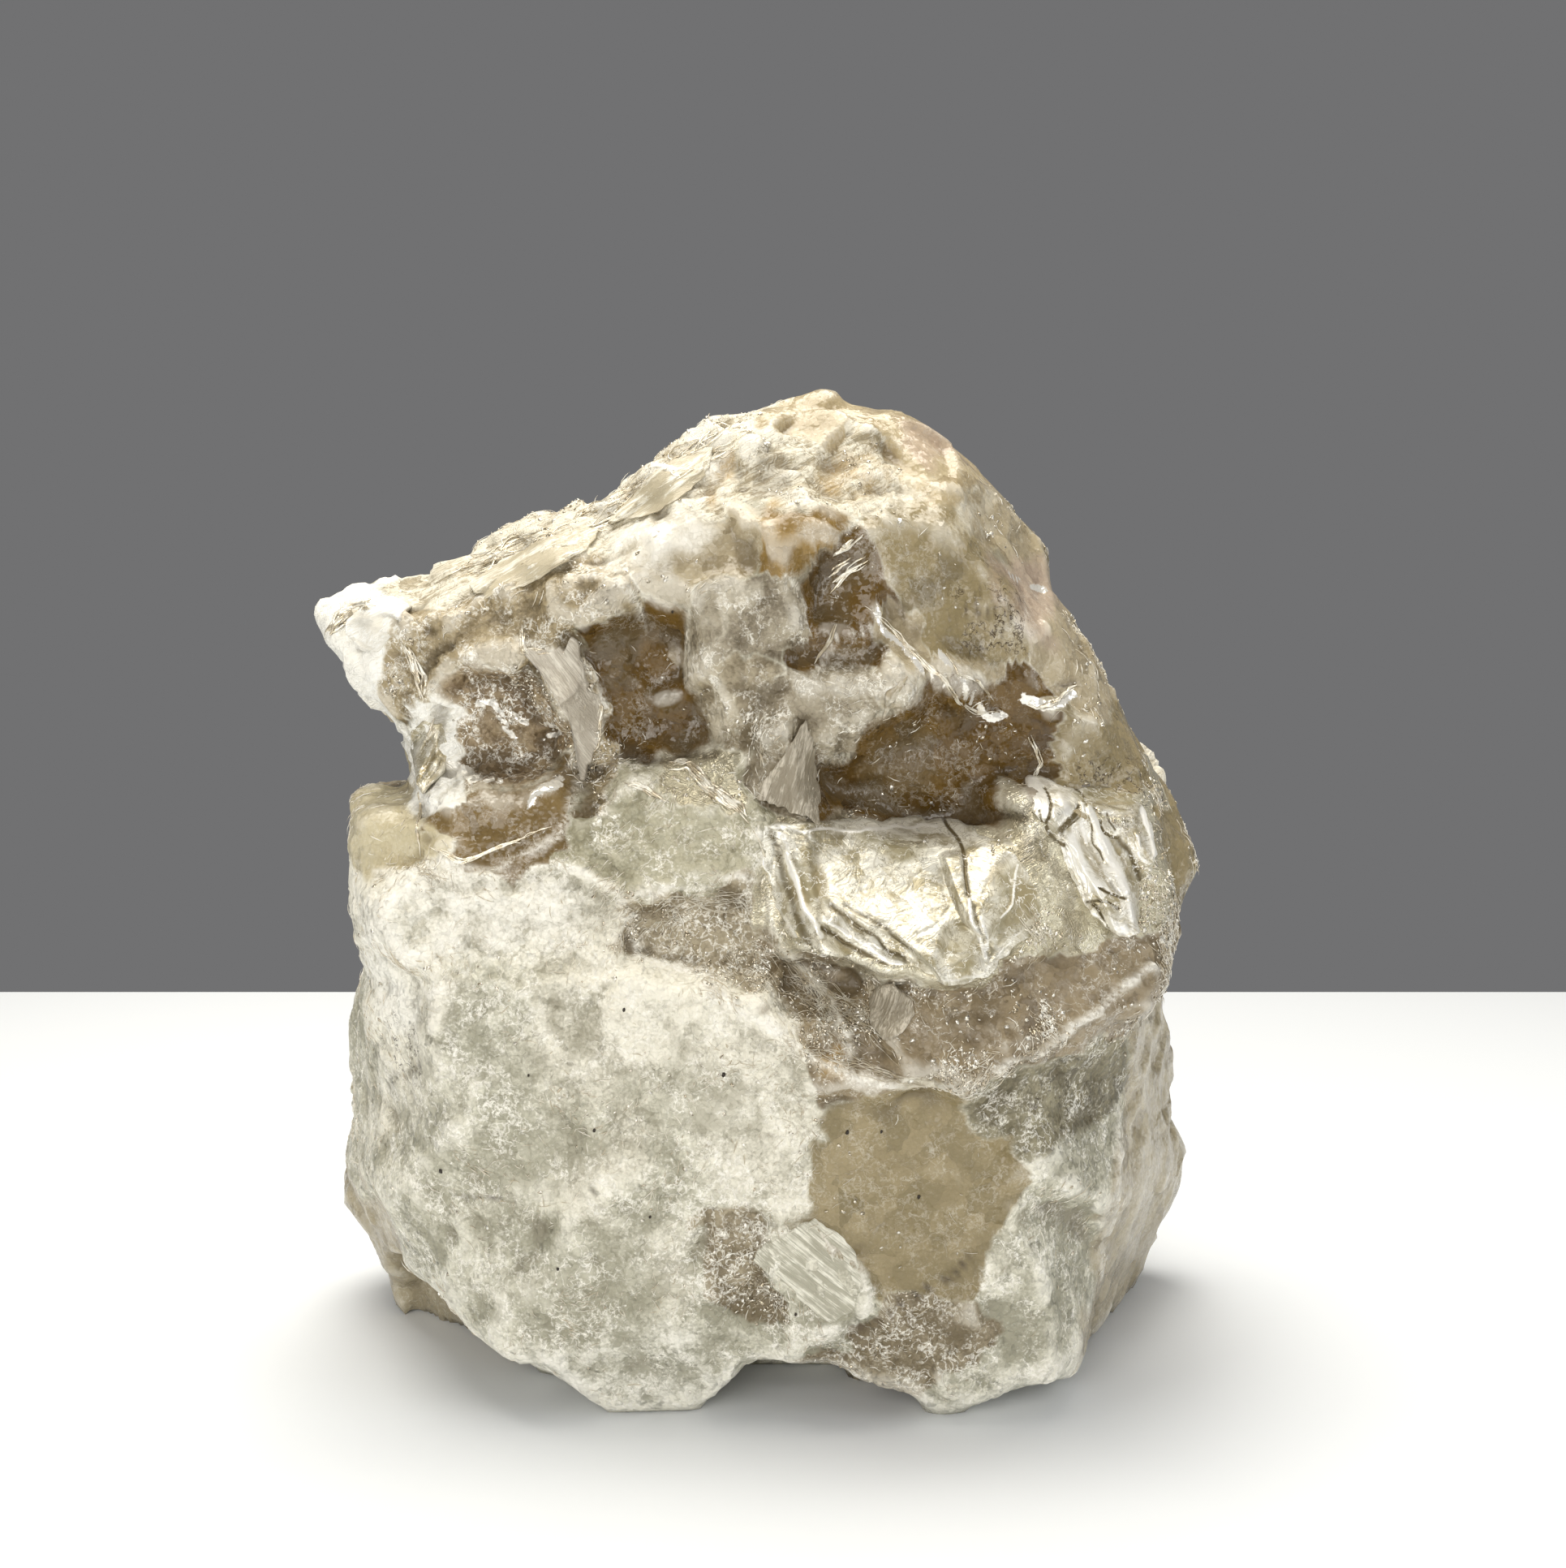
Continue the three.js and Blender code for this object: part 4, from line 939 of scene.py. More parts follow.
# %% Two tones of each mineral, and how ragged its border is
TONES = {
    "amber": ((0.15, 0.09, 0.022), (0.345, 0.22, 0.062), 0.5),
    "brown": ((0.112, 0.072, 0.024), (0.25, 0.172, 0.07), 0.4),
    "clear": ((0.296, 0.223, 0.118), (0.547, 0.453, 0.278), 0.5),
    "cool": ((0.14, 0.11, 0.065), (0.39, 0.34, 0.245), 0.7),
    "cream": ((0.342, 0.283, 0.175), (0.817, 0.768, 0.63), 0.8),
    # dusk: the honey tones made darker for the sides and underside, painted shade
    "dusk": ((0.27, 0.225, 0.135), (0.50, 0.44, 0.31), 0.5),
    "foil": ((0.14, 0.09, 0.04), (0.355, 0.272, 0.16), 0.8),
    "green": ((0.246, 0.226, 0.14), (0.483, 0.454, 0.328), 0.9),
    "honey": ((0.388, 0.318, 0.179), (0.673, 0.604, 0.414), 0.5),
    "lilac": ((0.175, 0.137, 0.077), (0.411, 0.351, 0.239), 0.9),
    "milky": ((0.242, 0.192, 0.107), (0.524, 0.446, 0.302), 0.8),
    # pearl, on the horn and the silvery flakes at the left, is near white: pale mica with painted highlight
    "pearl": ((0.84, 0.81, 0.71), (0.99, 0.98, 0.92), 0.5),
    "scales": ((0.118, 0.084, 0.042), (0.337, 0.268, 0.165), 0.9),
    "silver": ((0.28, 0.23, 0.13), (0.72, 0.68, 0.52), 0.6),
    "slate": ((0.133, 0.114, 0.065), (0.311, 0.281, 0.183), 0.9),
    "smoky": ((0.052, 0.026, 0.004), (0.16, 0.092, 0.018), 0.35),
    "tan": ((0.187, 0.148, 0.069), (0.35, 0.282, 0.156), 0.4),
    "veil": ((0.14, 0.102, 0.044), (0.41, 0.33, 0.195), 0.7),
}
# Two tones of the ground, and a greener, darker pair that also carries the painted shade low down.
# The colours that lie over the minerals: stains, painted shade and light, pale ribs with painted
# light on edges, painted glints, painted shade in corners, and cracks with painted shade in crevices
ALBITE = ((0.36, 0.335, 0.25), (0.83, 0.795, 0.67))
GREENER_ALBITE = ((0.32, 0.31, 0.225), (0.69, 0.675, 0.545))
GREY, SHADE, LIGHT = (0.36, 0.34, 0.25), (0.13, 0.10, 0.055), (0.76, 0.70, 0.56)
OCHRE, ROSE, CHALK = (0.42, 0.27, 0.08), (0.55, 0.40, 0.38), (0.93, 0.91, 0.83)
RIB_AND_EDGE_LIGHT, GLINT, CORNER_SHADE, CRACK_AND_CREVICE_SHADE = (0.94, 0.91, 0.82), (0.97, 0.94, 0.86), (0.12, 0.09, 0.05), (0.05, 0.03, 0.015)
STREAK_HEIGHT = 0.00003


def lump_finish():
    """Ground, minerals, stains, painted shade and light, ribs and painted light on edges, painted glints,
    painted shade in corners, and cracks, each laid over the last by its mask.
    """
    finish, shader = new_finish("pegmatite")
    here = place()
    broad, middle, edge = share_of("broad"), share_of("middle"), share_of("edge")
    shaken_place = bent(here, 0.3, 0.3)
    crystals, crystal_tone, _ = facets(shaken_place, size=0.17, tilt=0.8)
    flats, flat_tone, along = facets(shaken_place, size=0.8, tilt=0.22)
    lines = striae(along, flat_tone, spacing=0.045)
    fine = cloud(here, size=0.1, detail=3, salt=7.7)
    webs = three_clouds(shaken_place, size=0.6)
    web = ridge(channel(webs, 0), width=0.035) + ridge(channel(webs, 1), width=0.03)
    silk = strokes(length=2.4, width=0.11, turn=0.5, salt=1.0)
    sugar = fine * 0.5 + channel(webs, 2) * 0.5
    # The edge term paints light on jutting edges and shade in hollows into the tone
    tone = step(broad * 0.26 + middle * 0.1 + sugar * 0.46 + crystal_tone * 0.08 + flat_tone * 0.1
                + (edge - 0.5) * 0.3, 0.37, 0.63)
    calm = tone * 0.4 + flat_tone * 0.45 + 0.07
    striped = step(silk * 0.6 + lines * 0.2 + tone * 0.12 + flat_tone * 0.08, 0.38, 0.6)
    colour = mix(step(1 - broad, 0.4, 0.7) * 0.6, mix(tone, *ALBITE), mix(tone, *GREENER_ALBITE))
    colour = mix(share_of("grey") * (step(sugar * 0.5 + fine * 0.5, 0.4, 0.6) * 0.4 + 0.12), colour, GREY)
    rough, smooth = 0.55, 0.0
    shaken = (middle - 0.5) * 0.5 + (channel(webs, 2) - 0.5) * 0.9
    for mineral, (dark, light, ragged_by) in TONES.items():
        soft = 0.3 if mineral in GLASSY else 0.16 + 0.14 * ragged_by
        share = share_of(mineral)
        at_border = step(share, 0.02, 0.3) * (0.3 + 0.7 * ragged_by)
        mask = step(share + shaken * at_border, 0.5 - soft, 0.5 + soft)
        how_light = calm if mineral in GLASSY else striped if mineral in STRIATED else tone
        colour = mix(mask, colour, mix(how_light, dark, light))
        if mineral in GLASSY:
            rough = rough - mask * GLASSY[mineral]
            smooth = mask + smooth
        if mineral in STRIATED:
            smooth = mask * 0.75 + smooth
    # Patches of painted shade and painted light laid over the minerals
    for painted_light_kind, amount, painted_light_colour in (("shade", 0.45, SHADE), ("light", 0.42, LIGHT)):
        share = share_of(painted_light_kind)
        patch = step(share, 0.02, 0.3) * step(share + shaken * 0.9, 0.2, 1.0)
        colour = mix(patch * amount, colour, painted_light_colour)
    ochre = share_of("ochre") * step(middle, 0.35, 0.7)
    colour = mix(ochre * 0.7, colour, OCHRE)
    colour = mix(share_of("rose") * 0.3, colour, ROSE)
    colour = mix(share_of("white") * (tone * 0.6 + 0.08), colour, CHALK)
    stroke = web * step(middle * 0.6 + fine * 0.4, 0.4, 0.6) * (1 - smooth * 0.78)
    squiggle = ridge(channel(webs, 0), width=0.014) * step(middle, 0.45, 0.55)
    glint = squiggle * (share_of("foil") + share_of("silver") * 0.6 + share_of("scales") * 0.4)
    gleam = step(share_of("gleam") + (fine - 0.5) * 0.9, 0.4, 0.6)
    pale_seam = share_of("pale") * step(sugar, 0.35, 0.55)
    # Pale threads and pale ribs, and painted light on jutting edges
    colour = mix(stroke * 0.65 + step(edge, 0.62, 1.0) * 0.35 + pale_seam * 0.6, colour, RIB_AND_EDGE_LIGHT)
    # Painted glints on mica squiggles and gleam seams
    colour = mix(glint + gleam, colour, GLINT)
    # Painted shade in the hollow corners
    colour = mix(step(1 - edge, 0.6, 1.0) * 0.5, colour, CORNER_SHADE)
    # Dark veins and cracks, and painted shade along the hollow floor and the crevice
    veins = ridge(channel(webs, 2), width=0.025) * share_of("veins") * step(middle, 0.4, 0.5)
    colour = mix(veins * 0.95 + share_of("dark") * step(sugar, 0.3, 0.6) * 0.8, colour, CRACK_AND_CREVICE_SHADE)
    streaks = (lines + silk * 2.0) * (share_of("streaky") * STREAK_HEIGHT)
    height = crystals * share_of("coarse") + flats + streaks
    bump = bumped(height)
    shine = step(share_of("silver") + shaken * 0.4, 0.45, 0.7) + glint + gleam
    feed(shader, Base_Color=colour, Roughness=rough - shine * 0.15, Normal=bump, Metallic=shine * 0.45)
    return finish


specimen = add_piece("pegmatite_lump", lump, faces, lump_finish(), "albite", shares)
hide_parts(LUMP_NODE)

# %% [markdown]
# ## Books of mica
# Mica splits into sheets, and a stack of them is called a book. A flat plane
# with a metal finish would shine evenly and look like foil. Each book here is
# one closed sheet on a polar grid that lies on the finished face. Its height
# carries the terraces of split layers, folds, grooves and a slow swell, which
# break up the highlight as the real ones do.

# %% A closed sheet on a polar grid
def ring_faces(rings, spokes):
    """Triangles of a closed form: a first pole, rings of points, a last pole."""
    k = np.arange(spokes)
    after = (k + 1) % spokes
    parts = [np.stack((np.zeros(spokes, int), 1 + k, 1 + after), 1)]
    for ring in range(rings - 1):
        a, b = 1 + ring * spokes, 1 + (ring + 1) * spokes
        parts += [np.stack((a + k, b + k, b + after), 1), np.stack((a + k, b + after, a + after), 1)]
    a = 1 + (rings - 1) * spokes
    parts.append(np.stack((a + k, np.full(spokes, a + spokes), a + after), 1))
    return np.concatenate(parts)


def edge_reach(angles, corners_around):
    """How far a closed outline is from (0, 0) in each direction: there the ray meets an edge."""
    ways = np.stack((np.cos(angles), np.sin(angles)), 1)[:, None]
    begin = corners_around[None]
    run = np.roll(corners_around, -1, 0)[None] - begin
    cross = ways[..., 0] * run[..., 1] - ways[..., 1] * run[..., 0] + 1e-12
    reach = (begin[..., 0] * run[..., 1] - begin[..., 1] * run[..., 0]) / cross
    share = (begin[..., 0] * ways[..., 1] - begin[..., 1] * ways[..., 0]) / cross
    met = (reach > 0) & (share > -1e-6) & (share < 1 + 1e-6)
    return np.where(met, reach, FAR_OFF).min(1)


WRAP_STEP, EMPTY, FILLINGS, SMOOTHINGS = 0.25, 99.0, 8, 2
LIFT, GROOVE, TERRACE, BURIED = 0.06, 0.11, 0.045, 0.45
UNDERSIDE = (1.0, 0.75, 0.4, 0.1)  # r of the rings that run back beneath a sheet
facing = np.flatnonzero(np.degrees(turn) < FACING_UP_TO)


def wrapped():
    """A coarse chart of the finished face: its foremost corner in every square,
    with empty squares filled from the squares beside them, then smoothed."""
    i = np.round((lump[facing, 0] - chart_x[0]) / WRAP_STEP).astype(int)
    j = np.round((lump[facing, 2] - chart_z[0]) / WRAP_STEP).astype(int)
    chart = np.full((j.max() + 1 + FILLINGS, i.max() + 1 + FILLINGS), EMPTY)
    np.minimum.at(chart, (j, i), lump[facing, 1])
    for _ in range(FILLINGS):
        beside = np.minimum.reduce([np.roll(chart, way, axis) for way in (-1, 1) for axis in (0, 1)])
        chart = np.where(chart == EMPTY, beside, chart)
    for _ in range(SMOOTHINGS):
        chart = (chart * 2 + sum(np.roll(chart, way, axis) for way in (-1, 1) for axis in (0, 1))) / 6
    return chart


wrap = wrapped()


def sheet_grid(outline, rings, spokes, torn):
    """Corners of a polar grid as x and z, each corner's share r of the way from the
    middle to the torn outline, and a salt for the sheet's noises. In the last
    rings r falls again, because they run back beneath the sheet."""
    middle = np.array(outline).mean(0)
    salt = 60 + middle.sum() % 7
    angles = np.linspace(-math.pi, math.pi, spokes, endpoint=False)
    reach = edge_reach(angles, np.array(outline) - middle)
    edge_at = middle + np.stack((np.cos(angles), np.sin(angles)), 1) * reach[:, None]
    flat = np.stack((edge_at[:, 0], edge_at[:, 1], 0 * angles), 1)
    reach = reach * (1 + torn * mist(flat, 0.7, salt) + torn * mist(flat, 0.2, salt + 1))
    ring_shares = np.concatenate((np.linspace(0.02, 1, rings), UNDERSIDE))
    r = np.repeat(ring_shares, spokes)
    turned = np.tile(angles, len(ring_shares))
    x = middle[0] + r * np.tile(reach, len(ring_shares)) * np.cos(turned)
    z = middle[1] + r * np.tile(reach, len(ring_shares)) * np.sin(turned)
    x = np.concatenate(([middle[0]], x, [middle[0]]))
    z = np.concatenate(([middle[1]], z, [middle[1]]))
    return x, z, np.concatenate(([0], r, [0])), salt


def press_folds(height, x, z, folds, salt):
    """The height with the folds pressed into it, and how far each corner is in a fold."""
    fold = np.zeros(len(x))
    for fold_turn, spacing, depth, where_x, where_z, wide in folds:
        here = np.exp(-((x - where_x) ** 2 + (z - where_z) ** 2) / wide ** 2)
        wrinkle = here * creases(x, z, fold_turn, spacing * 6, spacing, 0.25, salt + 4)
        height = height - depth * wrinkle
        fold = np.maximum(fold, wrinkle)
    return height - 0.01 * creases(x, z, folds[0][0] + 25, 1.5, 0.5, 0.12, salt + 8), fold


def line_shares(at, marks):
    """The strongest mark at each corner, strength x exp(-(distance / width)^2):
    above 0 in a groove and below 0 on a bright ridge."""
    x, z = at[:, 0] + 0.09 * mist(at, 0.45, 91), at[:, 1] + 0.09 * mist(at, 0.45, 92)
    strongest = np.zeros(len(at))
    for strength, width, line in marks:
        near = np.exp(-(line_distance(x, z, line) / width) ** 2) * strength
        strongest = np.where(np.abs(near) > np.abs(strongest), near, strongest)
    return strongest


def dull_shares(at, dull):
    """1 inside the dull ellipses, falling to 0 around them."""
    if not dull:
        return np.zeros(len(at))
    nearest = grain_distances(dull, at[:, 0] + 0.15 * mist(at, 0.5, 93), at[:, 1]).min(0)
    return np.clip(FADED_AT - nearest, 0, 1)


def mica_sheet(name, outline, bends, folds, finish, marks=(), dull=(), swell=0.1, proud=0.2,
               layers=4, rings=90, spokes=300, slot="mica", torn=0.03):
    """A sheet on the finished face, from its middle (r = 0) to its outline (r = 1).
    Height over the face = proud + swell + planes - bends - folds - grooves - terraces,
    kept a little above zero by LIFT ln(1 + exp(height / LIFT)). y = face - height.
    At r = 1 the edge dives into the face, and the underside lies inside the lump."""
    x, z, r, salt = sheet_grid(outline, rings, spokes, torn)
    at = np.stack((x, z, 0 * x), 1)
    face = look_up(wrap, x, z, WRAP_STEP)
    planes, _ = cells(at, size=1.1, crispness=20, tilt=0.14, step=0.02)
    height = proud + swell * mist(at, 2.1, salt + 2) + planes - grain_face(bends, x, z, crispness=4)
    height, fold = press_folds(height, x, z, folds, salt)
    dark = line_shares(at, marks)
    height = height - GROOVE * dark
    worn = 1 - r + 0.12 * mist(at, 0.9, salt + 5) + 0.06 * mist(at, 0.3, salt + 6)
    for layer in range(layers):
        height = height + TERRACE * (np.clip((worn - 0.02 - 0.07 * layer ** 1.3) / 0.015, 0, 1) - 1)
    height = 0.01 + LIFT * np.log1p(np.exp(height / LIFT))
    under = np.arange(len(x)) > rings * spokes
    y = np.where(under, face + BURIED, face - height + 0.3 * np.clip(r - 0.985, 0, 1) / 0.015)
    triangles = ring_faces(rings + len(UNDERSIDE), spokes)
    add_piece(name, np.stack((x, y, z), 1), triangles, finish, slot,
              {"dark": dark, "dull": dull_shares(at, dull), "fold": fold})


# %% The finish of mica, and its sheets
# Colours of the mica: stripes, painted shade on dull facets and in creases, dark cracks with painted shadow
# lines, and painted highlight lines
STRIPE, DULL_SHADE, CREASE_SHADE = (0.36, 0.30, 0.17), (0.30, 0.26, 0.15), (0.30, 0.235, 0.11)
CRACK_AND_SHADOW_LINE, HIGHLIGHT_LINE = (0.13, 0.10, 0.045), (0.97, 0.95, 0.88)
STRIA_HEIGHT, RUMPLE_HEIGHT = 0.000008, 0.00005


def mica_finish(name, dark, light, metal):
    """Silvery sheets: tilted planes with striae, dull facets and creases darkened with painted shade, dark
    lines that are partly painted shadow, bright scratches, and bright ridge lines that are painted
    highlights.
    """
    finish, shader = new_finish(name)
    here = place()
    planes, plane_tone, along = facets(bent(here, 1.0, 0.8), size=1.0, tilt=0.12)
    lines = striae(along, plane_tone, spacing=0.06)
    webs = three_clouds(here, size=0.55)
    patch = cloud(here, size=0.8, detail=3, salt=6.0)
    dull, fold, mark = share_of("dull"), share_of("fold"), share_of("dark")
    tone = step(patch * 0.5 + plane_tone * 0.15 + channel(webs, 2) * 0.35, 0.38, 0.58)
    colour = mix(tone, dark, light)
    colour = mix(step(lines, 0.55, 0.7) * 0.4, colour, STRIPE)
    # Dull facets turned from the light get painted shade
    colour = mix(dull * (0.9 - tone * 0.35), colour, DULL_SHADE)
    # Creases get painted shade
    colour = mix(fold * 0.8, colour, CREASE_SHADE)
    wrinkles = ridge(channel(webs, 0), width=0.018) * step(patch, 0.42, 0.56)
    scratches = ridge(channel(webs, 1), width=0.02) * step(1 - patch, 0.38, 0.55)
    # Dark wrinkles and grooves: dark cracks, partly painted shadow lines
    colour = mix(wrinkles * 0.6 + step(mark, 0.15, 0.8), colour, CRACK_AND_SHADOW_LINE)
    # Bright scratches, and bright ridges painted as highlights
    colour = mix(scratches * 0.8 + step(0 - mark, 0.15, 0.7), colour, HIGHLIGHT_LINE)
    height = lines * STRIA_HEIGHT + planes + channel(webs, 0) * RUMPLE_HEIGHT
    bump = bumped(height)
    feed(shader, Base_Color=colour, Normal=bump, Metallic=metal - dull * metal * 0.7,
         Roughness=0.24 + patch * 0.2 + dull * 0.15)
    return finish


mica = mica_finish("mica", (0.38, 0.335, 0.22), (0.88, 0.855, 0.75), metal=0.42)
bright_mica = mica_finish("bright_mica", (0.46, 0.41, 0.28), (0.97, 0.95, 0.87), metal=0.4)
mica_sheet(
    "book_centre",
    outline=((-0.2, 19.4), (0.5, 19.6), (2.8, 19.5), (5.9, 19.45), (6.6, 19.4), (7.4, 19.1), (8.1, 18.6),
             (8.8, 17.8), (9.0, 17.0), (8.5, 16.2), (7.7, 15.6), (7.1, 15.1), (6.2, 14.9), (5.4, 15.0),
             (4.4, 15.2), (3.1, 15.7), (1.9, 16.0), (1.0, 16.2), (0.5, 17.0), (0.1, 18.2)),
    # x, z, half width, half height, turn, y, slope of y by x and by z
    bends=((4.2, 17.3, 1.9, 1.2, -30, -0.05, 0.1, 0.45), (4.4, 19.1, 1.7, 0.4, 0, 0.1, 0, -0.35),
           (1.0, 17.8, 0.6, 1.6, 10, 0, -0.5, 0.1), (3.8, 16.0, 1.4, 0.4, -35, 0.1, 0, -0.3),
           (7.6, 18.0, 1.0, 1.2, 0, 0.02, 0.25, 0.35), (8.3, 16.8, 0.8, 0.9, 0, 0.15, 0.3, -0.1),
           (6.6, 15.8, 0.9, 0.6, 0, -0.05, 0, 0.5)),
    # turn, spacing, depth, x, z, reach
    folds=((-42, 0.3, 0.05, 3.0, 16.4, 0.9), (-72, 0.35, 0.05, 1.5, 17.8, 0.8),
           (60, 0.35, 0.03, 7.4, 17.6, 1.1)),
    # strength, half width and line: dark grooves, partly painted shadow lines, and bright ridges with a
    # minus, painted highlights
    marks=((0.6, 0.2, ((0.4, 19.3), (0.8, 18.2), (1.2, 16.9), (1.6, 16.1))),
           (-0.5, 0.1, ((-0.1, 19.3), (0.3, 18.0), (0.7, 16.8), (1.2, 16.3))),
           (-0.8, 0.09, ((0.7, 19.2), (1.1, 18.2), (1.5, 17.1), (2.0, 16.4))),
           (0.7, 0.1, ((2.3, 17.2), (3.4, 16.4), (4.5, 15.6))),
           (0.8, 0.1, ((2.0, 16.6), (3.1, 15.9), (4.3, 15.4))),
           (0.6, 0.07, ((2.7, 17.2), (3.8, 16.7), (4.8, 15.9))),
           (-0.6, 0.07, ((2.1, 16.9), (3.2, 16.1), (4.4, 15.5))),
           (1.0, 0.08, ((6.1, 19.45), (6.5, 18.7), (6.6, 17.5))),
           (-1.0, 0.07, ((6.6, 17.4), (6.62, 16.8), (7.1, 15.7))),
           (0.7, 0.05, ((6.75, 17.2), (6.85, 16.6), (7.05, 16.1))),
           (-0.9, 0.06, ((6.95, 16.8), (7.15, 15.9))),
           (-0.4, 0.07, ((5.4, 15.15), (6.2, 15.05), (7.0, 15.3), (7.6, 15.8), (8.4, 16.4))),
           (-0.6, 0.06, ((0.6, 19.4), (2.8, 19.3), (5.8, 19.25))),
           (-0.7, 0.05, ((8.2, 18.3), (8.0, 17.2), (7.5, 16.8))),
           (0.3, 0.05, ((4.9, 16.4), (5.4, 16.6), (6.0, 17.0)))),
    dull=((4.2, 18.85, 1.5, 0.35, -6), (1.75, 17.9, 0.3, 0.9, 18), (7.9, 17.3, 0.7, 0.8, 0),
          (5.1, 15.6, 0.4, 0.3, 0), (6.3, 15.8, 0.5, 0.4, 0), (3.2, 15.9, 1.0, 0.15, -35)),
    finish=mica)
mica_sheet(
    "book_right",
    outline=((8.8, 20.8), (9.3, 20.9), (9.7, 20.7), (10.0, 20.5), (10.5, 20.4), (11.0, 20.5), (11.8, 20.4),
             (12.4, 20.2), (12.7, 19.9), (13.0, 19.4), (13.1, 18.9), (13.1, 18.4), (12.8, 18.0), (12.5, 17.7),
             (12.3, 17.2), (12.2, 16.7), (12.1, 16.2), (11.7, 16.1), (11.2, 16.2), (10.8, 16.5), (10.4, 16.9),
             (10.2, 17.4), (9.9, 18.0), (9.7, 18.7), (9.6, 19.0), (9.3, 19.1), (9.1, 19.5), (8.8, 19.9)),
    bends=((10.9, 18.2, 2.0, 0.6, -62, -0.12, 0, 0.35), (10.2, 17.9, 1.8, 0.35, -62, 0.05, -0.5, 0),
           (11.8, 18.2, 1.8, 0.5, -62, 0, 0.3, 0.3), (12.8, 18.9, 0.5, 0.8, 0, 0, 0.1, 0.4),
           (9.3, 20.2, 0.8, 0.5, 0, -0.05, 0, 0.35), (11.5, 20.2, 1.2, 0.3, 0, 0.1, 0, 0.1)),
    folds=((-64, 0.4, 0.03, 11.2, 18.2, 1.5), (2, 0.2, 0.04, 11.7, 20.2, 0.9)),
    marks=((1.0, 0.07, ((9.34, 20.5), (9.4, 20.1), (9.28, 19.7), (9.2, 19.5), (9.3, 19.2), (9.5, 19.0),
                        (9.75, 18.85))),
           (0.8, 0.05, ((9.06, 20.0), (9.08, 19.7), (9.17, 19.5))),
           (0.7, 0.05, ((10.7, 20.0), (10.7, 19.6), (10.75, 19.2), (10.8, 18.9), (11.0, 18.6),
                        (11.1, 18.35))),
           (1.0, 0.06, ((11.0, 19.8), (11.1, 19.6), (11.1, 19.3), (11.2, 19.1), (11.4, 19.0), (11.7, 19.0))),
           (0.75, 0.13, ((11.7, 19.0), (11.8, 18.8), (12.05, 18.5), (12.2, 18.2), (12.3, 17.95),
                         (12.4, 17.7))),
           (0.8, 0.05, ((11.36, 19.7), (11.4, 19.45), (11.55, 19.25))),
           (1.0, 0.12, ((10.34, 19.9), (10.1, 19.65), (9.85, 19.4), (9.7, 19.25))),
           (0.9, 0.04, ((10.3, 19.6), (10.1, 19.45), (9.9, 19.3))),
           (0.8, 0.05, ((10.4, 20.4), (10.6, 20.3), (10.75, 20.1))),
           (0.9, 0.06, ((10.8, 17.5), (11.0, 17.4), (11.2, 17.3), (11.5, 17.2), (11.75, 17.15))),
           (0.5, 0.1, ((11.2, 17.7), (11.3, 17.5), (11.5, 17.3))),
           (0.8, 0.05, ((10.5, 17.15), (10.75, 17.15), (11.0, 17.1), (11.25, 16.95), (11.45, 16.9))),
           (0.9, 0.05, ((10.6, 17.05), (10.8, 16.8), (11.0, 16.5), (11.1, 16.3))),
           (0.5, 0.05, ((10.5, 20.05), (11.0, 20.0), (11.6, 19.9), (12.2, 19.8))),
           (0.5, 0.04, ((10.4, 20.4), (11.0, 20.45), (11.75, 20.4))),
           (0.4, 0.03, ((10.55, 20.25), (11.1, 20.2), (11.7, 20.2), (12.2, 20.1))),
           (-0.8, 0.2, ((10.0, 19.0), (10.15, 18.4), (10.4, 17.9), (10.8, 17.55))),
           (-1.0, 0.16, ((10.75, 19.8), (10.95, 19.25), (11.3, 18.5), (11.5, 17.9), (11.75, 17.45))),
           (-0.7, 0.1, ((10.5, 20.0), (10.4, 19.4), (10.5, 18.9))),
           (-1.0, 0.13, ((12.7, 19.7), (12.85, 19.2), (13.0, 18.4))),
           (-0.7, 0.07, ((12.35, 18.9), (12.4, 18.4), (12.65, 18.1))),
           (-0.9, 0.2, ((11.1, 16.5), (11.5, 16.35))),
           (-0.8, 0.12, ((11.85, 17.0), (11.9, 16.6))), (-0.9, 0.25, ((9.0, 20.7), (9.2, 20.3), (9.2, 19.9))),
           (-0.7, 0.15, ((9.8, 20.3), (10.0, 19.9)))),
    dull=((11.5, 20.25, 1.0, 0.25, -2), (12.45, 19.3, 0.2, 0.5, 5), (9.4, 19.3, 0.3, 0.3, 0)),
    finish=bright_mica)
mica_sheet(
    "silver_left",
    outline=((-11.5, 22.3), (-11.0, 22.7), (-10.4, 22.6), (-10.1, 21.9), (-10.3, 21.0), (-10.8, 20.4),
             (-11.2, 20.9), (-11.6, 21.6)),
    bends=((-11.1, 21.8, 0.3, 1, -20, 0, -0.3, 0.8), (-10.5, 21.3, 0.3, 1, -20, 0, 0.4, 0.6)),
    folds=((65, 0.3, 0.12, -10.8, 21.5, 1.2),), finish=mica, rings=30, spokes=120)


FIBRE_HEIGHT = 0.00006


def plate_finish(name, dark, light, turn):
    """A pale crystal with streaks along the turn, and painted shade in its folds."""
    finish, shader = new_finish(name)
    fibre = strokes(length=1.2, width=0.06, turn=turn, salt=2.0)
    # The folds are darkened: painted shade
    tone = step(fibre * 0.65 + cloud(place(), 0.5, 3) * 0.35 - share_of("fold") * 0.2, 0.38, 0.62)
    colour = mix(tone, dark, light)
    bump = bumped(fibre * FIBRE_HEIGHT)
    feed(shader, Base_Color=colour, Roughness=0.3, Normal=bump)
    return finish


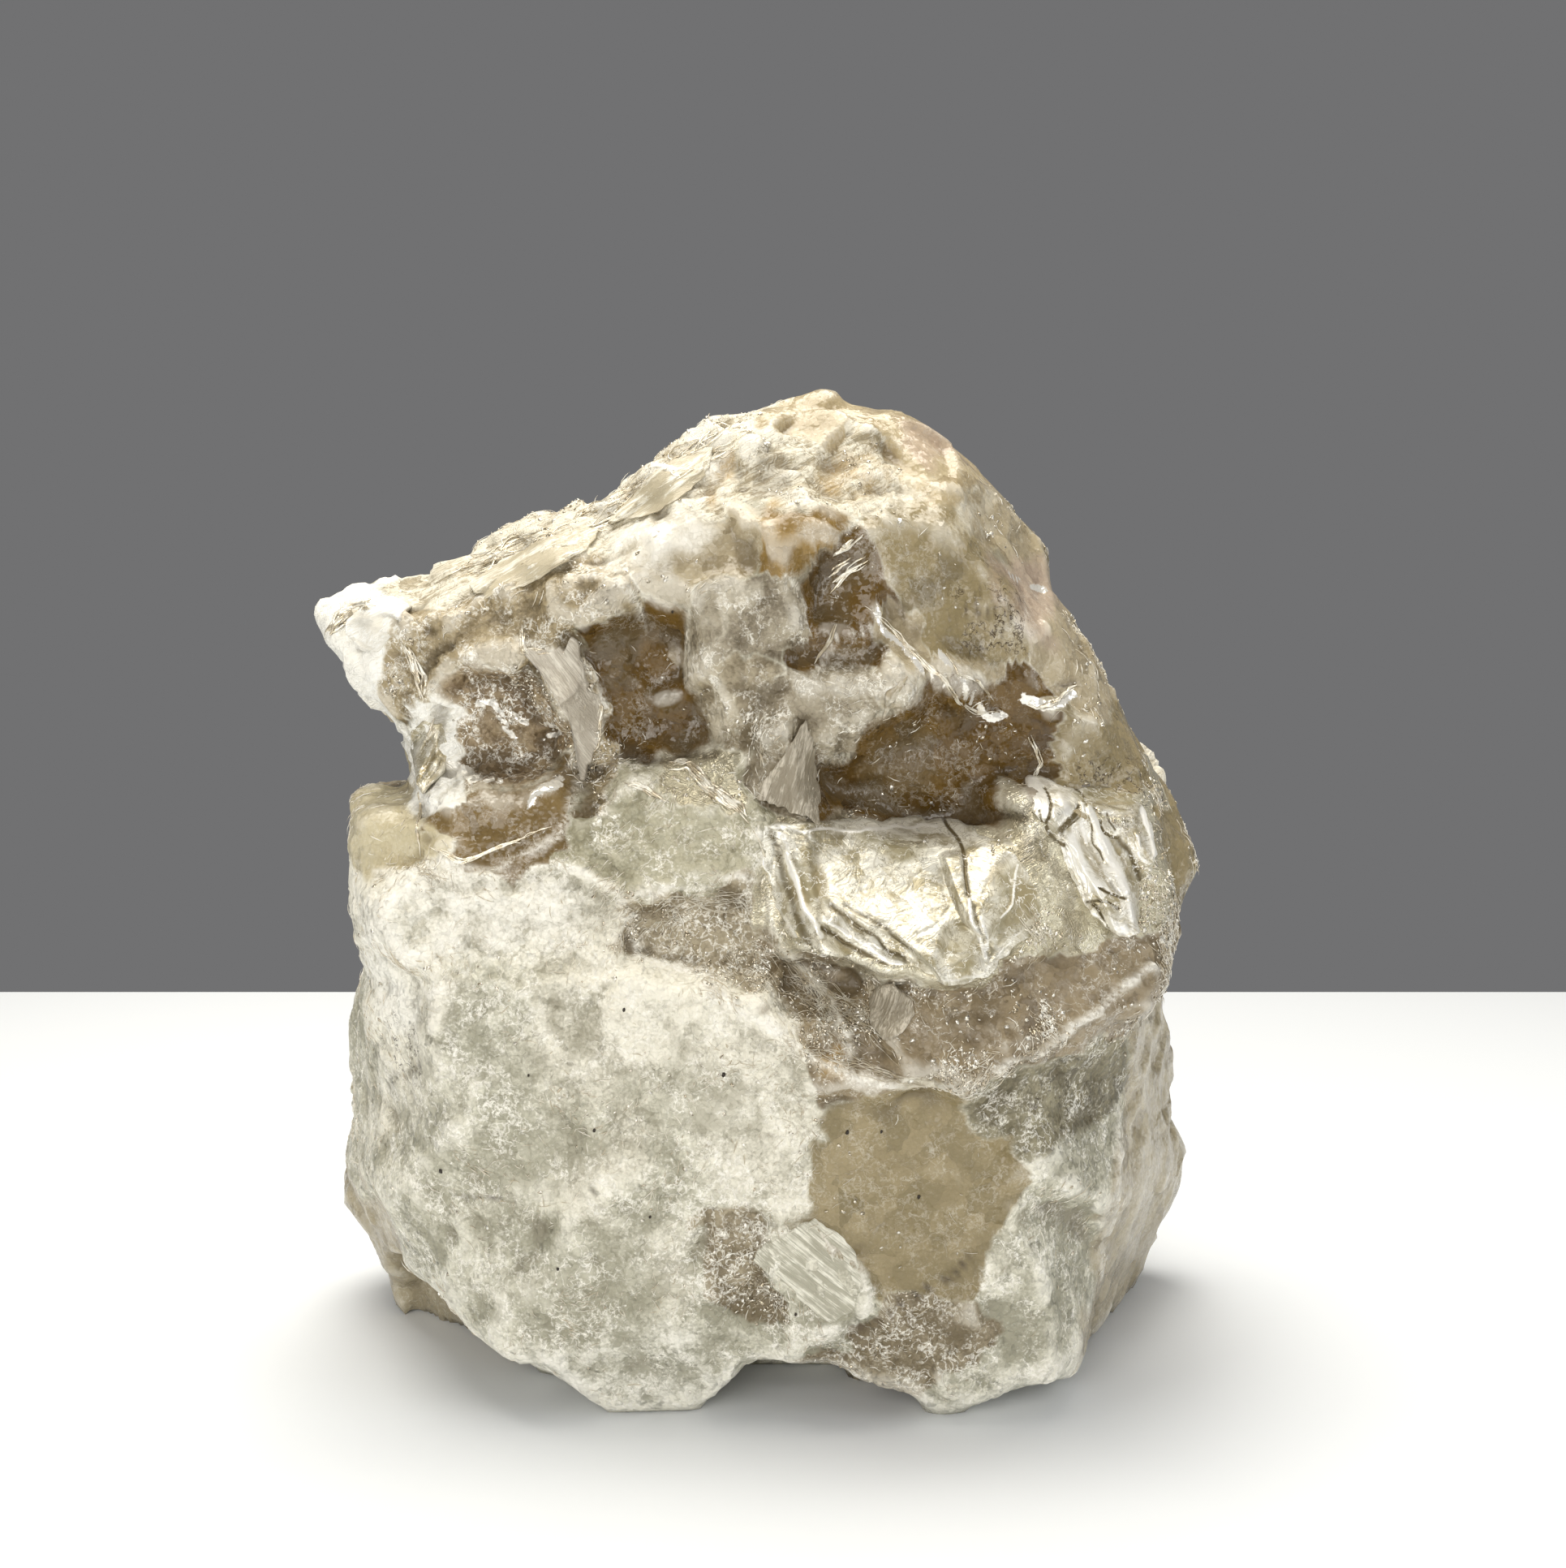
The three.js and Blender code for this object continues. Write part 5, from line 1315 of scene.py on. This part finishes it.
streaked = plate_finish("streaked_plate", (0.42, 0.40, 0.31), (0.86, 0.835, 0.72), turn=-0.7)
greyish = plate_finish("grey_blade", (0.30, 0.26, 0.19), (0.66, 0.60, 0.49), turn=1.25)
lilac_white = plate_finish("lilac_blade", (0.46, 0.41, 0.33), (0.70, 0.65, 0.55), turn=-0.9)
silky = plate_finish("silky_blade", (0.54, 0.475, 0.335), (0.95, 0.92, 0.80), turn=0.55)
# The horn's leaf is near white: pale mica with painted highlight in place of its reflection
horn_highlight_leaf = plate_finish("horn_highlight_leaf", (0.80, 0.77, 0.68), (0.99, 0.98, 0.93), turn=0.4)

mica_sheet(
    "pale_plate",
    outline=((-0.2, 5.9), (0.3, 6.5), (1.1, 6.9), (1.8, 7.2), (2.6, 6.8), (3.1, 6.1), (3.3, 5.3), (3.1, 4.2),
             (2.4, 3.8), (1.8, 4.2), (1.2, 4.7), (0.5, 5.3)),
    bends=((1.7, 5.2, 1.7, 1.1, -45, 0, 0.05, 0.1), (2.8, 4.6, 0.5, 1.2, 0, 0.1, 0.3, 0)),
    folds=((-42, 0.35, 0.05, 1.8, 5.4, 1.6),), finish=streaked, proud=-0.02, layers=2, rings=50, spokes=200,
    slot="albite")
mica_sheet(
    "feather_blade",
    outline=((1.5, 22.9), (1.1, 22.2), (0.6, 21.4), (0.0, 20.7), (-0.1, 20.3), (0.7, 20.0), (1.4, 19.7),
             (1.9, 19.6), (2.0, 20.4), (1.9, 21.4), (1.75, 22.2)),
    bends=((0.8, 20.9, 0.5, 1.5, 20, 0, -0.3, 0), (1.6, 20.9, 0.4, 1.5, 0, 0, 0.35, 0)),
    folds=((70, 0.4, 0.04, 1.1, 21, 1.2),), finish=greyish, proud=0.15, layers=1, rings=40, spokes=160,
    slot="quartz", torn=0.1)
mica_sheet(
    "web_blade",
    outline=((-7.7, 25.1), (-6.7, 25.0), (-5.8, 25.4), (-5.6, 24.2), (-5.1, 23.3), (-5.2, 22.3), (-5.7, 21.1),
             (-6.2, 21.6), (-6.0, 22.5), (-6.4, 23.5), (-7.0, 24.4)),
    bends=((-6.5, 24.5, 0.8, 0.8, 0, 0, -0.1, 0.3), (-5.6, 22.8, 0.5, 1.2, 0, 0, 0.3, 0)),
    folds=((-60, 0.4, 0.03, -6, 23, 2),), finish=lilac_white, proud=0.12, layers=1, rings=40, spokes=200,
    slot="albite", torn=0.12)
mica_sheet(
    "horn_leaf",
    outline=((-13.7, 26.0), (-12.9, 26.6), (-12.2, 26.8), (-11.5, 26.4), (-11.6, 25.8), (-12.4, 24.9),
             (-13.1, 25.0), (-13.7, 25.5)),
    bends=((-12.9, 26.3, 1.2, 0.5, 15, -0.05, -0.2, 0.7), (-12.6, 25.4, 1.0, 0.5, -30, 0.1, 0.1, 0.1)),
    folds=((-20, 0.5, 0.05, -12.8, 25.7, 1.0),), finish=horn_highlight_leaf, proud=0.1, layers=2, rings=40, spokes=120)
mica_sheet(
    "roof_blade_left",
    outline=((-9.6, 27.1), (-8.6, 27.9), (-7.2, 28.6), (-6.0, 29.0), (-5.2, 29.0), (-5.6, 28.2), (-6.6, 27.6),
             (-7.6, 27.0), (-8.8, 26.7)),
    bends=((-7.4, 28.1, 2.2, 0.5, 27, 0, 0, 0.25), (-7.2, 27.4, 2.2, 0.4, 27, 0.05, 0, -0.2)),
    folds=((28, 0.35, 0.06, -7.3, 27.9, 2.2),), finish=silky, proud=0.1, layers=3, rings=50, spokes=200,
    slot="albite", torn=0.06)
mica_sheet(
    "roof_blade_upper",
    outline=((-4.9, 29.2), (-4.2, 30.1), (-3.3, 31.0), (-2.2, 31.6), (-1.4, 31.7), (-1.6, 30.8), (-2.4, 30.0),
             (-3.4, 29.4)),
    bends=((-3.4, 30.5, 1.8, 0.4, 40, 0, 0, 0.2), (-2.8, 30.2, 1.6, 0.4, 40, 0.05, 0, -0.2)),
    folds=((38, 0.35, 0.06, -3, 30.5, 2),), finish=silky, proud=0.1, layers=3, rings=50, spokes=200,
    slot="albite", torn=0.06)
mica_sheet(
    "blue_blade",
    outline=((3.5, 14.1), (3.8, 14.6), (4.2, 14.8), (4.8, 14.3), (4.9, 13.9), (4.5, 13.4), (3.9, 13.1),
             (3.5, 13.5)),
    bends=((3.9, 14, 0.4, 0.8, 0, 0, -0.4, 0), (4.5, 14, 0.4, 0.8, 0, 0, 0.4, 0)),
    folds=((70, 0.4, 0.03, 4.1, 14, 0.7),), finish=greyish, proud=0.1, layers=1, rings=24, spokes=80,
    slot="quartz")

# %% [markdown]
# ## Threads and flakes
# The glitter of the rock comes from thousands of mica edges: short bright
# threads in the cracks and tiny plates standing at all angles. A particle
# system would be the usual way, but instances are lost on export. Here all
# copies are worked out at once as one array and joined into one mesh.

# %% Seats for small things
chance = np.random.default_rng(7)
lump_normals = normals_of(lump, faces)


def seats(weights, count):
    """Corners of the lump picked at random by weight: points, normals, and unit
    directions along the surface that turn slowly from place to place."""
    picked = chance.choice(len(lump), count, p=weights / weights.sum())
    normal = lump_normals[picked]
    heading = math.pi * mist(lump[picked], 3.5, salt=71) + chance.normal(0, 0.6, count)
    wish = np.stack((np.cos(heading), 0 * heading, np.sin(heading)), 1)
    along = wish - (wish * normal).sum(1, keepdims=True) * normal
    along /= np.maximum(np.linalg.norm(along, axis=1, keepdims=True), 1e-6)
    drift = chance.uniform(-0.15, 0.15, (2, count, 1))
    return lump[picked] + drift[0] * along + drift[1] * np.cross(normal, along), normal, along


def copies(shape_points, shape_triangles):
    """One mesh from an array of shape (copies, corners, 3) and one copy's triangles."""
    count, corners_each, _ = shape_points.shape
    shift = np.arange(count)[:, None, None] * corners_each
    return shape_points.reshape(-1, 3), (shape_triangles[None] + shift).reshape(-1, 3)


THREAD_SAG, THREAD_LIFT = 0.25, 0.02
THREAD_CORNERS = (-0.5, 1.57, 3.64)  # radians from sideways


def thread_mesh(where, length, half_width):
    """Spindles with three sides. At share s of the way, -1 to 1: middle + s length along
    - sag s^2 normal + bend s^2 sideways, as thick as half_width (1 - s^2)."""
    middle, normal, along = where
    side = np.cross(normal, along)
    count = len(middle)
    length, half_width = length[:, None], half_width[:, None]
    bend = chance.normal(0, 0.25, (count, 1)) * length
    rows = []
    for s in (-1, -0.55, 0, 0.55, 1):
        raised = (THREAD_LIFT - THREAD_SAG * length * s * s) * normal
        core = middle + s * length * along + raised + bend * s * s * side
        if abs(s) == 1:
            rows.append(core)
            continue
        thick = half_width * (1 - s * s)
        rows += [core + thick * (side * math.cos(a) + normal * math.sin(a)) for a in THREAD_CORNERS]
    return copies(np.stack(rows, 1), ring_faces(3, 3)[:, ::-1])


def flake_mesh(where, size, thickness, lean):
    """Six-sided plates about a tilted normal: corner k at 60 k degrees, thickness apart."""
    middle, normal, along = where
    count = len(middle)
    up = normal + lean * chance.normal(0, 1, (count, 3))
    up /= np.linalg.norm(up, axis=1, keepdims=True)
    u = np.cross(up, along)
    u /= np.linalg.norm(u, axis=1, keepdims=True)
    v = np.cross(up, u)
    rings = []
    for lift in (1, -1):
        for k in range(6):
            r = (size * chance.uniform(0.6, 1.1, count))[:, None]
            flat = r * (u * math.cos(k * math.pi / 3) + 0.7 * v * math.sin(k * math.pi / 3))
            rings.append(middle + flat + lift * thickness * up)
    k = np.arange(6)
    after = (k + 1) % 6
    lid = np.array([(0, i, i + 1) for i in range(1, 5)])
    sides = np.concatenate((np.stack((k, k + 6, after + 6), 1), np.stack((k, after + 6, after), 1)))
    return copies(np.stack(rings, 1), np.concatenate((lid, lid[:, ::-1] + 6, sides)))


# Small things grow in clumps, thinner behind the rim, and stay clear of the floor
LOWEST_SEAT, THINNER_FROM, THINNER_OVER, THINNEST = 0.8, 80, 20, 0.35
clumps = np.clip(0.35 + 1.2 * mist(lump, 1.5, salt=73) + 0.6 * mist(lump, 0.5, salt=74), 0.03, 1.5) ** 2
front_side = np.clip((THINNER_FROM + THINNER_OVER - np.degrees(turn)) / THINNER_OVER, THINNEST, 1)
front_side *= lump[:, 2] > LOWEST_SEAT


def mixed(**amounts):
    """Where things grow: the sum of amount x share, thinned behind the rim."""
    return front_side * clumps * sum(amount * shares[name] for name, amount in amounts.items()) + 1e-9


# %% White threads and silver flakes
DARKER = (0.62, 0.56, 0.46)


def plain_finish(name, colour, metallic, roughness):
    """A finish for tiny pieces, with a little change from place to place."""
    finish, shader = new_finish(name)
    patch = step(cloud(place(), 0.4, 2, 3.0), 0.35, 0.65)
    darker = tuple(c * shade for c, shade in zip(colour, DARKER))
    feed(shader, Base_Color=mix(patch, darker, colour), Metallic=metallic,
         Roughness=patch * 0.2 + (roughness - 0.1))
    return finish


THREADS, FLAKES = 7000, 6500
thread_seats = seats(mixed(scales=1.0, lilac=0.6, smoky=0.06, milky=0.15, tan=0.03, cream=0.1, albite=0.3,
                           veil=0.5, cool=0.4, green=0.4, honey=0.2, silver=0.2, pale=0.8, foil=0.4), THREADS)
points, triangles = thread_mesh(thread_seats, 0.07 + 0.5 * chance.random(THREADS) ** 2.5,
                                chance.uniform(0.008, 0.024, THREADS))
thread_white = plain_finish("pale_thread", (0.92, 0.89, 0.80), metallic=0.0, roughness=0.3)
add_piece("pale_threads", points, triangles, thread_white, "albite")
flake_seats = seats(mixed(scales=0.8, lilac=0.35, silver=0.4, cream=0.1, milky=0.05, tan=0.02, smoky=0.03,
                          albite=0.02, foil=1.0, veil=0.35), FLAKES)
points, triangles = flake_mesh(flake_seats, chance.uniform(0.03, 0.12, FLAKES), thickness=0.008, lean=0.45)
flake_silver = plain_finish("mica_flake", (0.93, 0.90, 0.82), metallic=0.75, roughness=0.25)
add_piece("mica_flakes", points, triangles, flake_silver, "mica")

# %% Edges of mica that crop out as wavy ribbons: strands, half width, spread, points (x, z)
EDGES = {
    "long_edge": (7, 0.036, 0.1, ((3.4, 26.5), (4.3, 25.7), (5.2, 24.8), (5.9, 24.1), (6.5, 23.3),
                                  (7.3, 22.9), (7.9, 23.0))),
    "second_edge": (3, 0.035, 0.06, ((6.0, 25.0), (6.4, 24.3), (7.1, 24.0), (7.7, 23.3))),
    "glint": (6, 0.055, 0.07, ((8.5, 23.4), (9.1, 23.1), (9.7, 23.3), (10.3, 23.7), (10.6, 23.8))),
    "pit_edge": (5, 0.069, 0.06, ((2.3, 28.0), (2.8, 28.3), (3.3, 28.7))),
    "pit_folds": (9, 0.046, 0.22, ((2.2, 27.0), (2.8, 27.6), (3.5, 28.0))),
    "cluster": (11, 0.075, 0.14, ((-3.1, 21.3), (-2.3, 21.4), (-1.6, 20.7), (-0.7, 20.1), (-0.2, 19.6))),
    "cluster_left": (5, 0.04, 0.12, ((-4.5, 20.9), (-3.6, 20.7), (-2.7, 20.1))),
    "left_flakes": (9, 0.069, 0.15, ((-10.5, 22.7), (-11.0, 21.8), (-10.9, 20.6))),
    "web_edge": (4, 0.04, 0.05, ((-7.6, 25.0), (-6.5, 24.9), (-5.6, 23.9), (-5.1, 23.2), (-5.2, 21.9),
                                 (-5.9, 21.3))),
    "curl": (5, 0.052, 0.07, ((-7.6, 25.9), (-7.5, 25.0), (-6.8, 25.0))),
    "block_edge": (4, 0.029, 0.04, ((-11.2, 20.6), (-10.9, 19.5), (-10.8, 18.3))),
    "lens_rim": (5, 0.034, 0.1, ((-10.6, 19.0), (-9.3, 18.4), (-7.7, 19.0), (-6.2, 19.6))),
    "crack_lip": (4, 0.04, 0.03, ((6.6, 17.3), (6.8, 16.6), (7.1, 15.6))),
    "book_lip": (5, 0.034, 0.06, ((-0.2, 19.6), (0.5, 18.2), (1.0, 17.0), (1.9, 16.1))),
    "roof_left": (16, 0.035, 0.5, ((-10.5, 27.5), (-8.5, 28.2), (-6.5, 28.8))),
    "roof_middle": (16, 0.03, 0.56, ((-6.5, 28.8), (-4.5, 29.8), (-3.0, 31.0))),
    "roof_upper": (14, 0.03, 0.62, ((-3.4, 30.6), (-1.8, 31.6), (-0.4, 32.6))),
    "horn": (13, 0.069, 0.22, ((-14.5, 25.3), (-13.8, 26.1), (-12.4, 26.7))),
    "horn_root": (9, 0.057, 0.19, ((-11.6, 25.6), (-11.0, 24.3), (-10.8, 23.2))),
    "hollow_lip": (5, 0.029, 0.07, ((8.9, 22.2), (9.4, 21.2), (9.0, 20.6))),
}
# Blades of clear crystal and silky threads, in the same columns
BLADES = {
    "feather": (5, 0.035, 0.2, ((1.5, 22.7), (1.1, 21.6), (0.9, 20.4))),
    "feather_right": (5, 0.035, 0.15, ((1.6, 22.6), (1.7, 21.4), (1.8, 20.0))),
    "blue": (3, 0.16, 0.2, ((4.3, 14.9), (4.2, 14.2), (4.0, 13.5))),
    "wedge": (3, 0.12, 0.12, ((4.7, 24.3), (4.2, 23.6), (3.9, 22.8))),
    "window": (2, 0.05, 0.05, ((1.8, 24.6), (2.3, 25.4), (2.6, 26.1))),
}
SILK = {
    "upper": (12, 0.013, 0.35, ((0.3, 15.9), (1.2, 14.9), (2.4, 14.0), (3.6, 13.8))),
    "middle": (12, 0.012, 0.35, ((0.4, 14.6), (1.5, 14.4), (3.2, 13.6), (4.7, 12.5))),
    "low": (10, 0.013, 0.25, ((1.2, 12.9), (2.7, 12.4), (4.2, 12.0), (5.6, 11.8))),
    "steep": (12, 0.011, 0.35, ((0.6, 15.6), (1.5, 14.6), (2.1, 13.4), (3.5, 12.6))),
    "lilac": (12, 0.012, 0.4, ((-3.8, 16.5), (-2.2, 17.2), (-0.4, 17.2), (0.6, 16.2))),
    "crackle": (10, 0.012, 0.4, ((7.6, 17.8), (8.4, 16.9), (8.9, 15.9), (8.6, 15.2))),
}
RIBBON_STEPS, RIBBON_SIDES, SMOOTHED_OVER = 60, 6, 11
ENDS_CUT, WOBBLE, STANDS_OUT, THICK = 0.35, 0.04, 0.05, 0.018
WHOLE_UNDER = 0.04  # a strand with less spread than this runs the whole line
SALTS_PER_LINE = 17  # more than the strands of any line, so that no two are alike


def draped(x, z):
    """The y of the face at (x, z), from the nearest corners, smoothed along the line."""
    far = (lump[facing, 0] - x[:, None]) ** 2 + (lump[facing, 2] - z[:, None]) ** 2
    y = lump[facing[far.argmin(1)], 1]
    around = np.pad(y, SMOOTHED_OVER // 2, mode="edge")
    return np.stack([around[k:k + len(y)] for k in range(SMOOTHED_OVER)]).mean(0)


def ribbon(points, half_width, spread, salt):
    """A thin band over a random part of a line on the face, or over the whole line
    where the spread is small. It sways by the spread and twists by noise. Its half
    width follows the root of sin(pi s), at share s of its length."""
    points = np.array(points)
    lengths = np.r_[0, np.cumsum(np.hypot(*np.diff(points, axis=0).T))]
    s = np.linspace(0, 1, RIBBON_STEPS)
    whole = spread < WHOLE_UNDER
    cut = 0 if whole else ENDS_CUT
    begin, end = cut * cell_number(salt, 1, 2, 3), 1 - cut * cell_number(salt, 4, 5, 6)
    on_line = (begin + s * (end - begin)) * lengths[-1]
    at = np.stack((on_line, 0 * s, 0 * s), 1)
    x = np.interp(on_line, lengths, points[:, 0]) + spread * mist(at, 1.3, salt)
    z = np.interp(on_line, lengths, points[:, 1]) + spread * mist(at, 1.3, salt + 2)
    x, z = x + WOBBLE * mist(at, 0.3, salt + 1), z + WOBBLE * mist(at, 0.3, salt)
    core = np.stack((x, draped(x, z) - STANDS_OUT, z), 1)
    ahead = np.gradient(core, axis=0)
    ahead /= np.linalg.norm(ahead, axis=1, keepdims=True)
    out = np.array((0, -1, 0)) + ahead[:, 1:2] * ahead
    out /= np.linalg.norm(out, axis=1, keepdims=True)
    side = np.cross(ahead, out)
    twist = (0.4 + (0.3 if whole else 0.9) * mist(at, 0.9, salt + 3))[:, None]
    wide = side * np.cos(twist) + out * np.sin(twist)
    thin = out * np.cos(twist) - side * np.sin(twist)
    taper = np.sqrt(np.sin(math.pi * np.clip(s ** (1.5 if whole else 1), 0.01, 0.99)))
    half = (half_width * taper * (1 + 0.4 * mist(at, 0.5, salt + 4)))[:, None]
    flat = min(THICK, half_width)
    rings = [core + half * math.cos(a) * wide + flat * math.sin(a) * thin
             for a in np.linspace(0, TURN, RIBBON_SIDES, endpoint=False)]
    body = np.stack(rings, 1).reshape(-1, 3)
    return np.concatenate((core[:1] - 0.02 * ahead[:1], body, core[-1:] + 0.02 * ahead[-1:]))


def ribbons(table, first_salt):
    """All strands of a table as one mesh."""
    strands = []
    for k, (count, half_width, spread, points) in enumerate(table.values()):
        strands += [ribbon(points, half_width, spread, first_salt + SALTS_PER_LINE * k + strand)
                    for strand in range(count)]
    return copies(np.stack(strands), ring_faces(RIBBON_STEPS, RIBBON_SIDES))


silver = plain_finish("silver_edge", (0.93, 0.89, 0.78), metallic=0.55, roughness=0.3)
pale_blade = plain_finish("pale_blade", (0.66, 0.62, 0.52), metallic=0.0, roughness=0.3)
add_piece("mica_edges", *ribbons(EDGES, first_salt=200), silver, "mica")
add_piece("crystal_blades", *ribbons(BLADES, first_salt=900), pale_blade, "albite")
add_piece("silk_threads", *ribbons(SILK, first_salt=1500), pale_blade, "albite")

# %% Dark flecks on the face: x, z
FLECKS = ((-4.1, 14.1), (-7.1, 11.8), (-5.0, 10.2), (-1.1, 12.0), (-10.2, 8.5), (-2.8, 26.4), (-5.4, 23.8),
          (-8.1, 21.0), (3.9, 10.1), (2.8, 10.1), (-3.4, 7.5), (-6.3, 5.5), (5.0, 7.8), (1.2, 4.2))
nearest = [facing[((lump[facing, 0] - x) ** 2 + (lump[facing, 2] - z) ** 2).argmin()] for x, z in FLECKS]
fleck_along = np.cross(lump_normals[nearest], (0.3, 0, 1))
fleck_along /= np.linalg.norm(fleck_along, axis=1, keepdims=True)
points, triangles = flake_mesh((lump[nearest], lump_normals[nearest], fleck_along),
                               chance.uniform(0.05, 0.11, len(FLECKS)), thickness=0.03, lean=0.1)
fleck_black = plain_finish("dark_fleck", (0.03, 0.02, 0.01), metallic=0.0, roughness=0.4)
add_piece("dark_flecks", points, triangles, fleck_black, "albite")

# %% [markdown]
# ## Floor, light and camera
# A specimen is shown on a plain pale surface under one large soft light, with
# a weaker one in front so that the overhangs don't go black. The floor ends
# behind the lump, and beyond it lies the grey of the world.

# %% The stage
FLOOR_LOW, FLOOR_HIGH = (-140, -150, -3), (140, 58, 0)
FLOOR_TONE, WORLD_TONE = (0.86, 0.89, 0.93), (0.165, 0.165, 0.168)


def slab(name, low, high, colour):
    """A box from its two corners in mm, with a plain rough finish."""
    points = np.array([[(low, high)[k >> axis & 1][axis] for axis in range(3)] for k in range(8)])
    sides = np.array([(0, 2, 3, 1), (4, 5, 7, 6), (0, 1, 5, 4), (2, 6, 7, 3), (0, 4, 6, 2), (1, 3, 7, 5)])
    finish, shader = new_finish(name)
    feed(shader, Base_Color=(*colour, 1), Roughness=0.6)
    mesh = bpy.data.meshes.new(name)
    mesh.from_pydata(points * MM, [], sides.tolist())
    mesh.materials.append(finish)
    made = bpy.data.objects.new(name, mesh)
    bpy.context.scene.collection.objects.link(made)


def soft_light(name, place_mm, aim_mm, size_mm, power, colour=(1, 1, 1)):
    """An area light at a place in mm, turned towards a point. Its power is in watts."""
    data = bpy.data.lights.new(name, "AREA")
    data.shape, data.size, data.size_y = "RECTANGLE", size_mm[0] * MM, size_mm[1] * MM
    data.energy, data.color = power, colour
    lamp = bpy.data.objects.new(name, data)
    lamp.location = np.array(place_mm) * MM
    away = Vector(place_mm) - Vector(aim_mm)
    lamp.rotation_euler = away.to_track_quat("Z", "Y").to_euler()
    bpy.context.scene.collection.objects.link(lamp)


slab("floor", FLOOR_LOW, FLOOR_HIGH, FLOOR_TONE)
soft_light("overhead", place_mm=(-15, 20, 150), aim_mm=(0, 0, 12), size_mm=(150, 110), power=0.31,
           colour=(1.0, 0.955, 0.86))
soft_light("front_fill", place_mm=(-30, -150, 60), aim_mm=(0, 0, 15), size_mm=(120, 90), power=0.13,
           colour=(1.0, 0.97, 0.92))
soft_light("right_side", place_mm=(150, -70, 70), aim_mm=(0, 0, 15), size_mm=(90, 90), power=0.06)

world = bpy.data.worlds.new("studio_grey")
bpy.context.scene.world = world
world.use_nodes = True
world.node_tree.nodes["Background"].inputs["Color"].default_value = (*WORLD_TONE, 1)
bpy.context.scene.view_settings.view_transform = "Standard"

# %% The camera
CAMERA_MM, CAMERA_PITCH, LENS = (0.8, -66.0, 26.8), 5.7, 43.55
camera_data = bpy.data.cameras.new("camera")
camera_data.lens, camera_data.sensor_width = LENS, 36
camera_data.clip_start, camera_data.clip_end = 0.001, 10
camera = bpy.data.objects.new("camera", camera_data)
camera.location = (np.array(CAMERA_MM) + SHIFT) * MM
camera.rotation_euler = (math.radians(90 - CAMERA_PITCH), 0, 0)
bpy.context.scene.collection.objects.link(camera)
bpy.context.scene.camera = camera
print("camera at", [round(c / MM, 1) for c in camera.location], "mm")
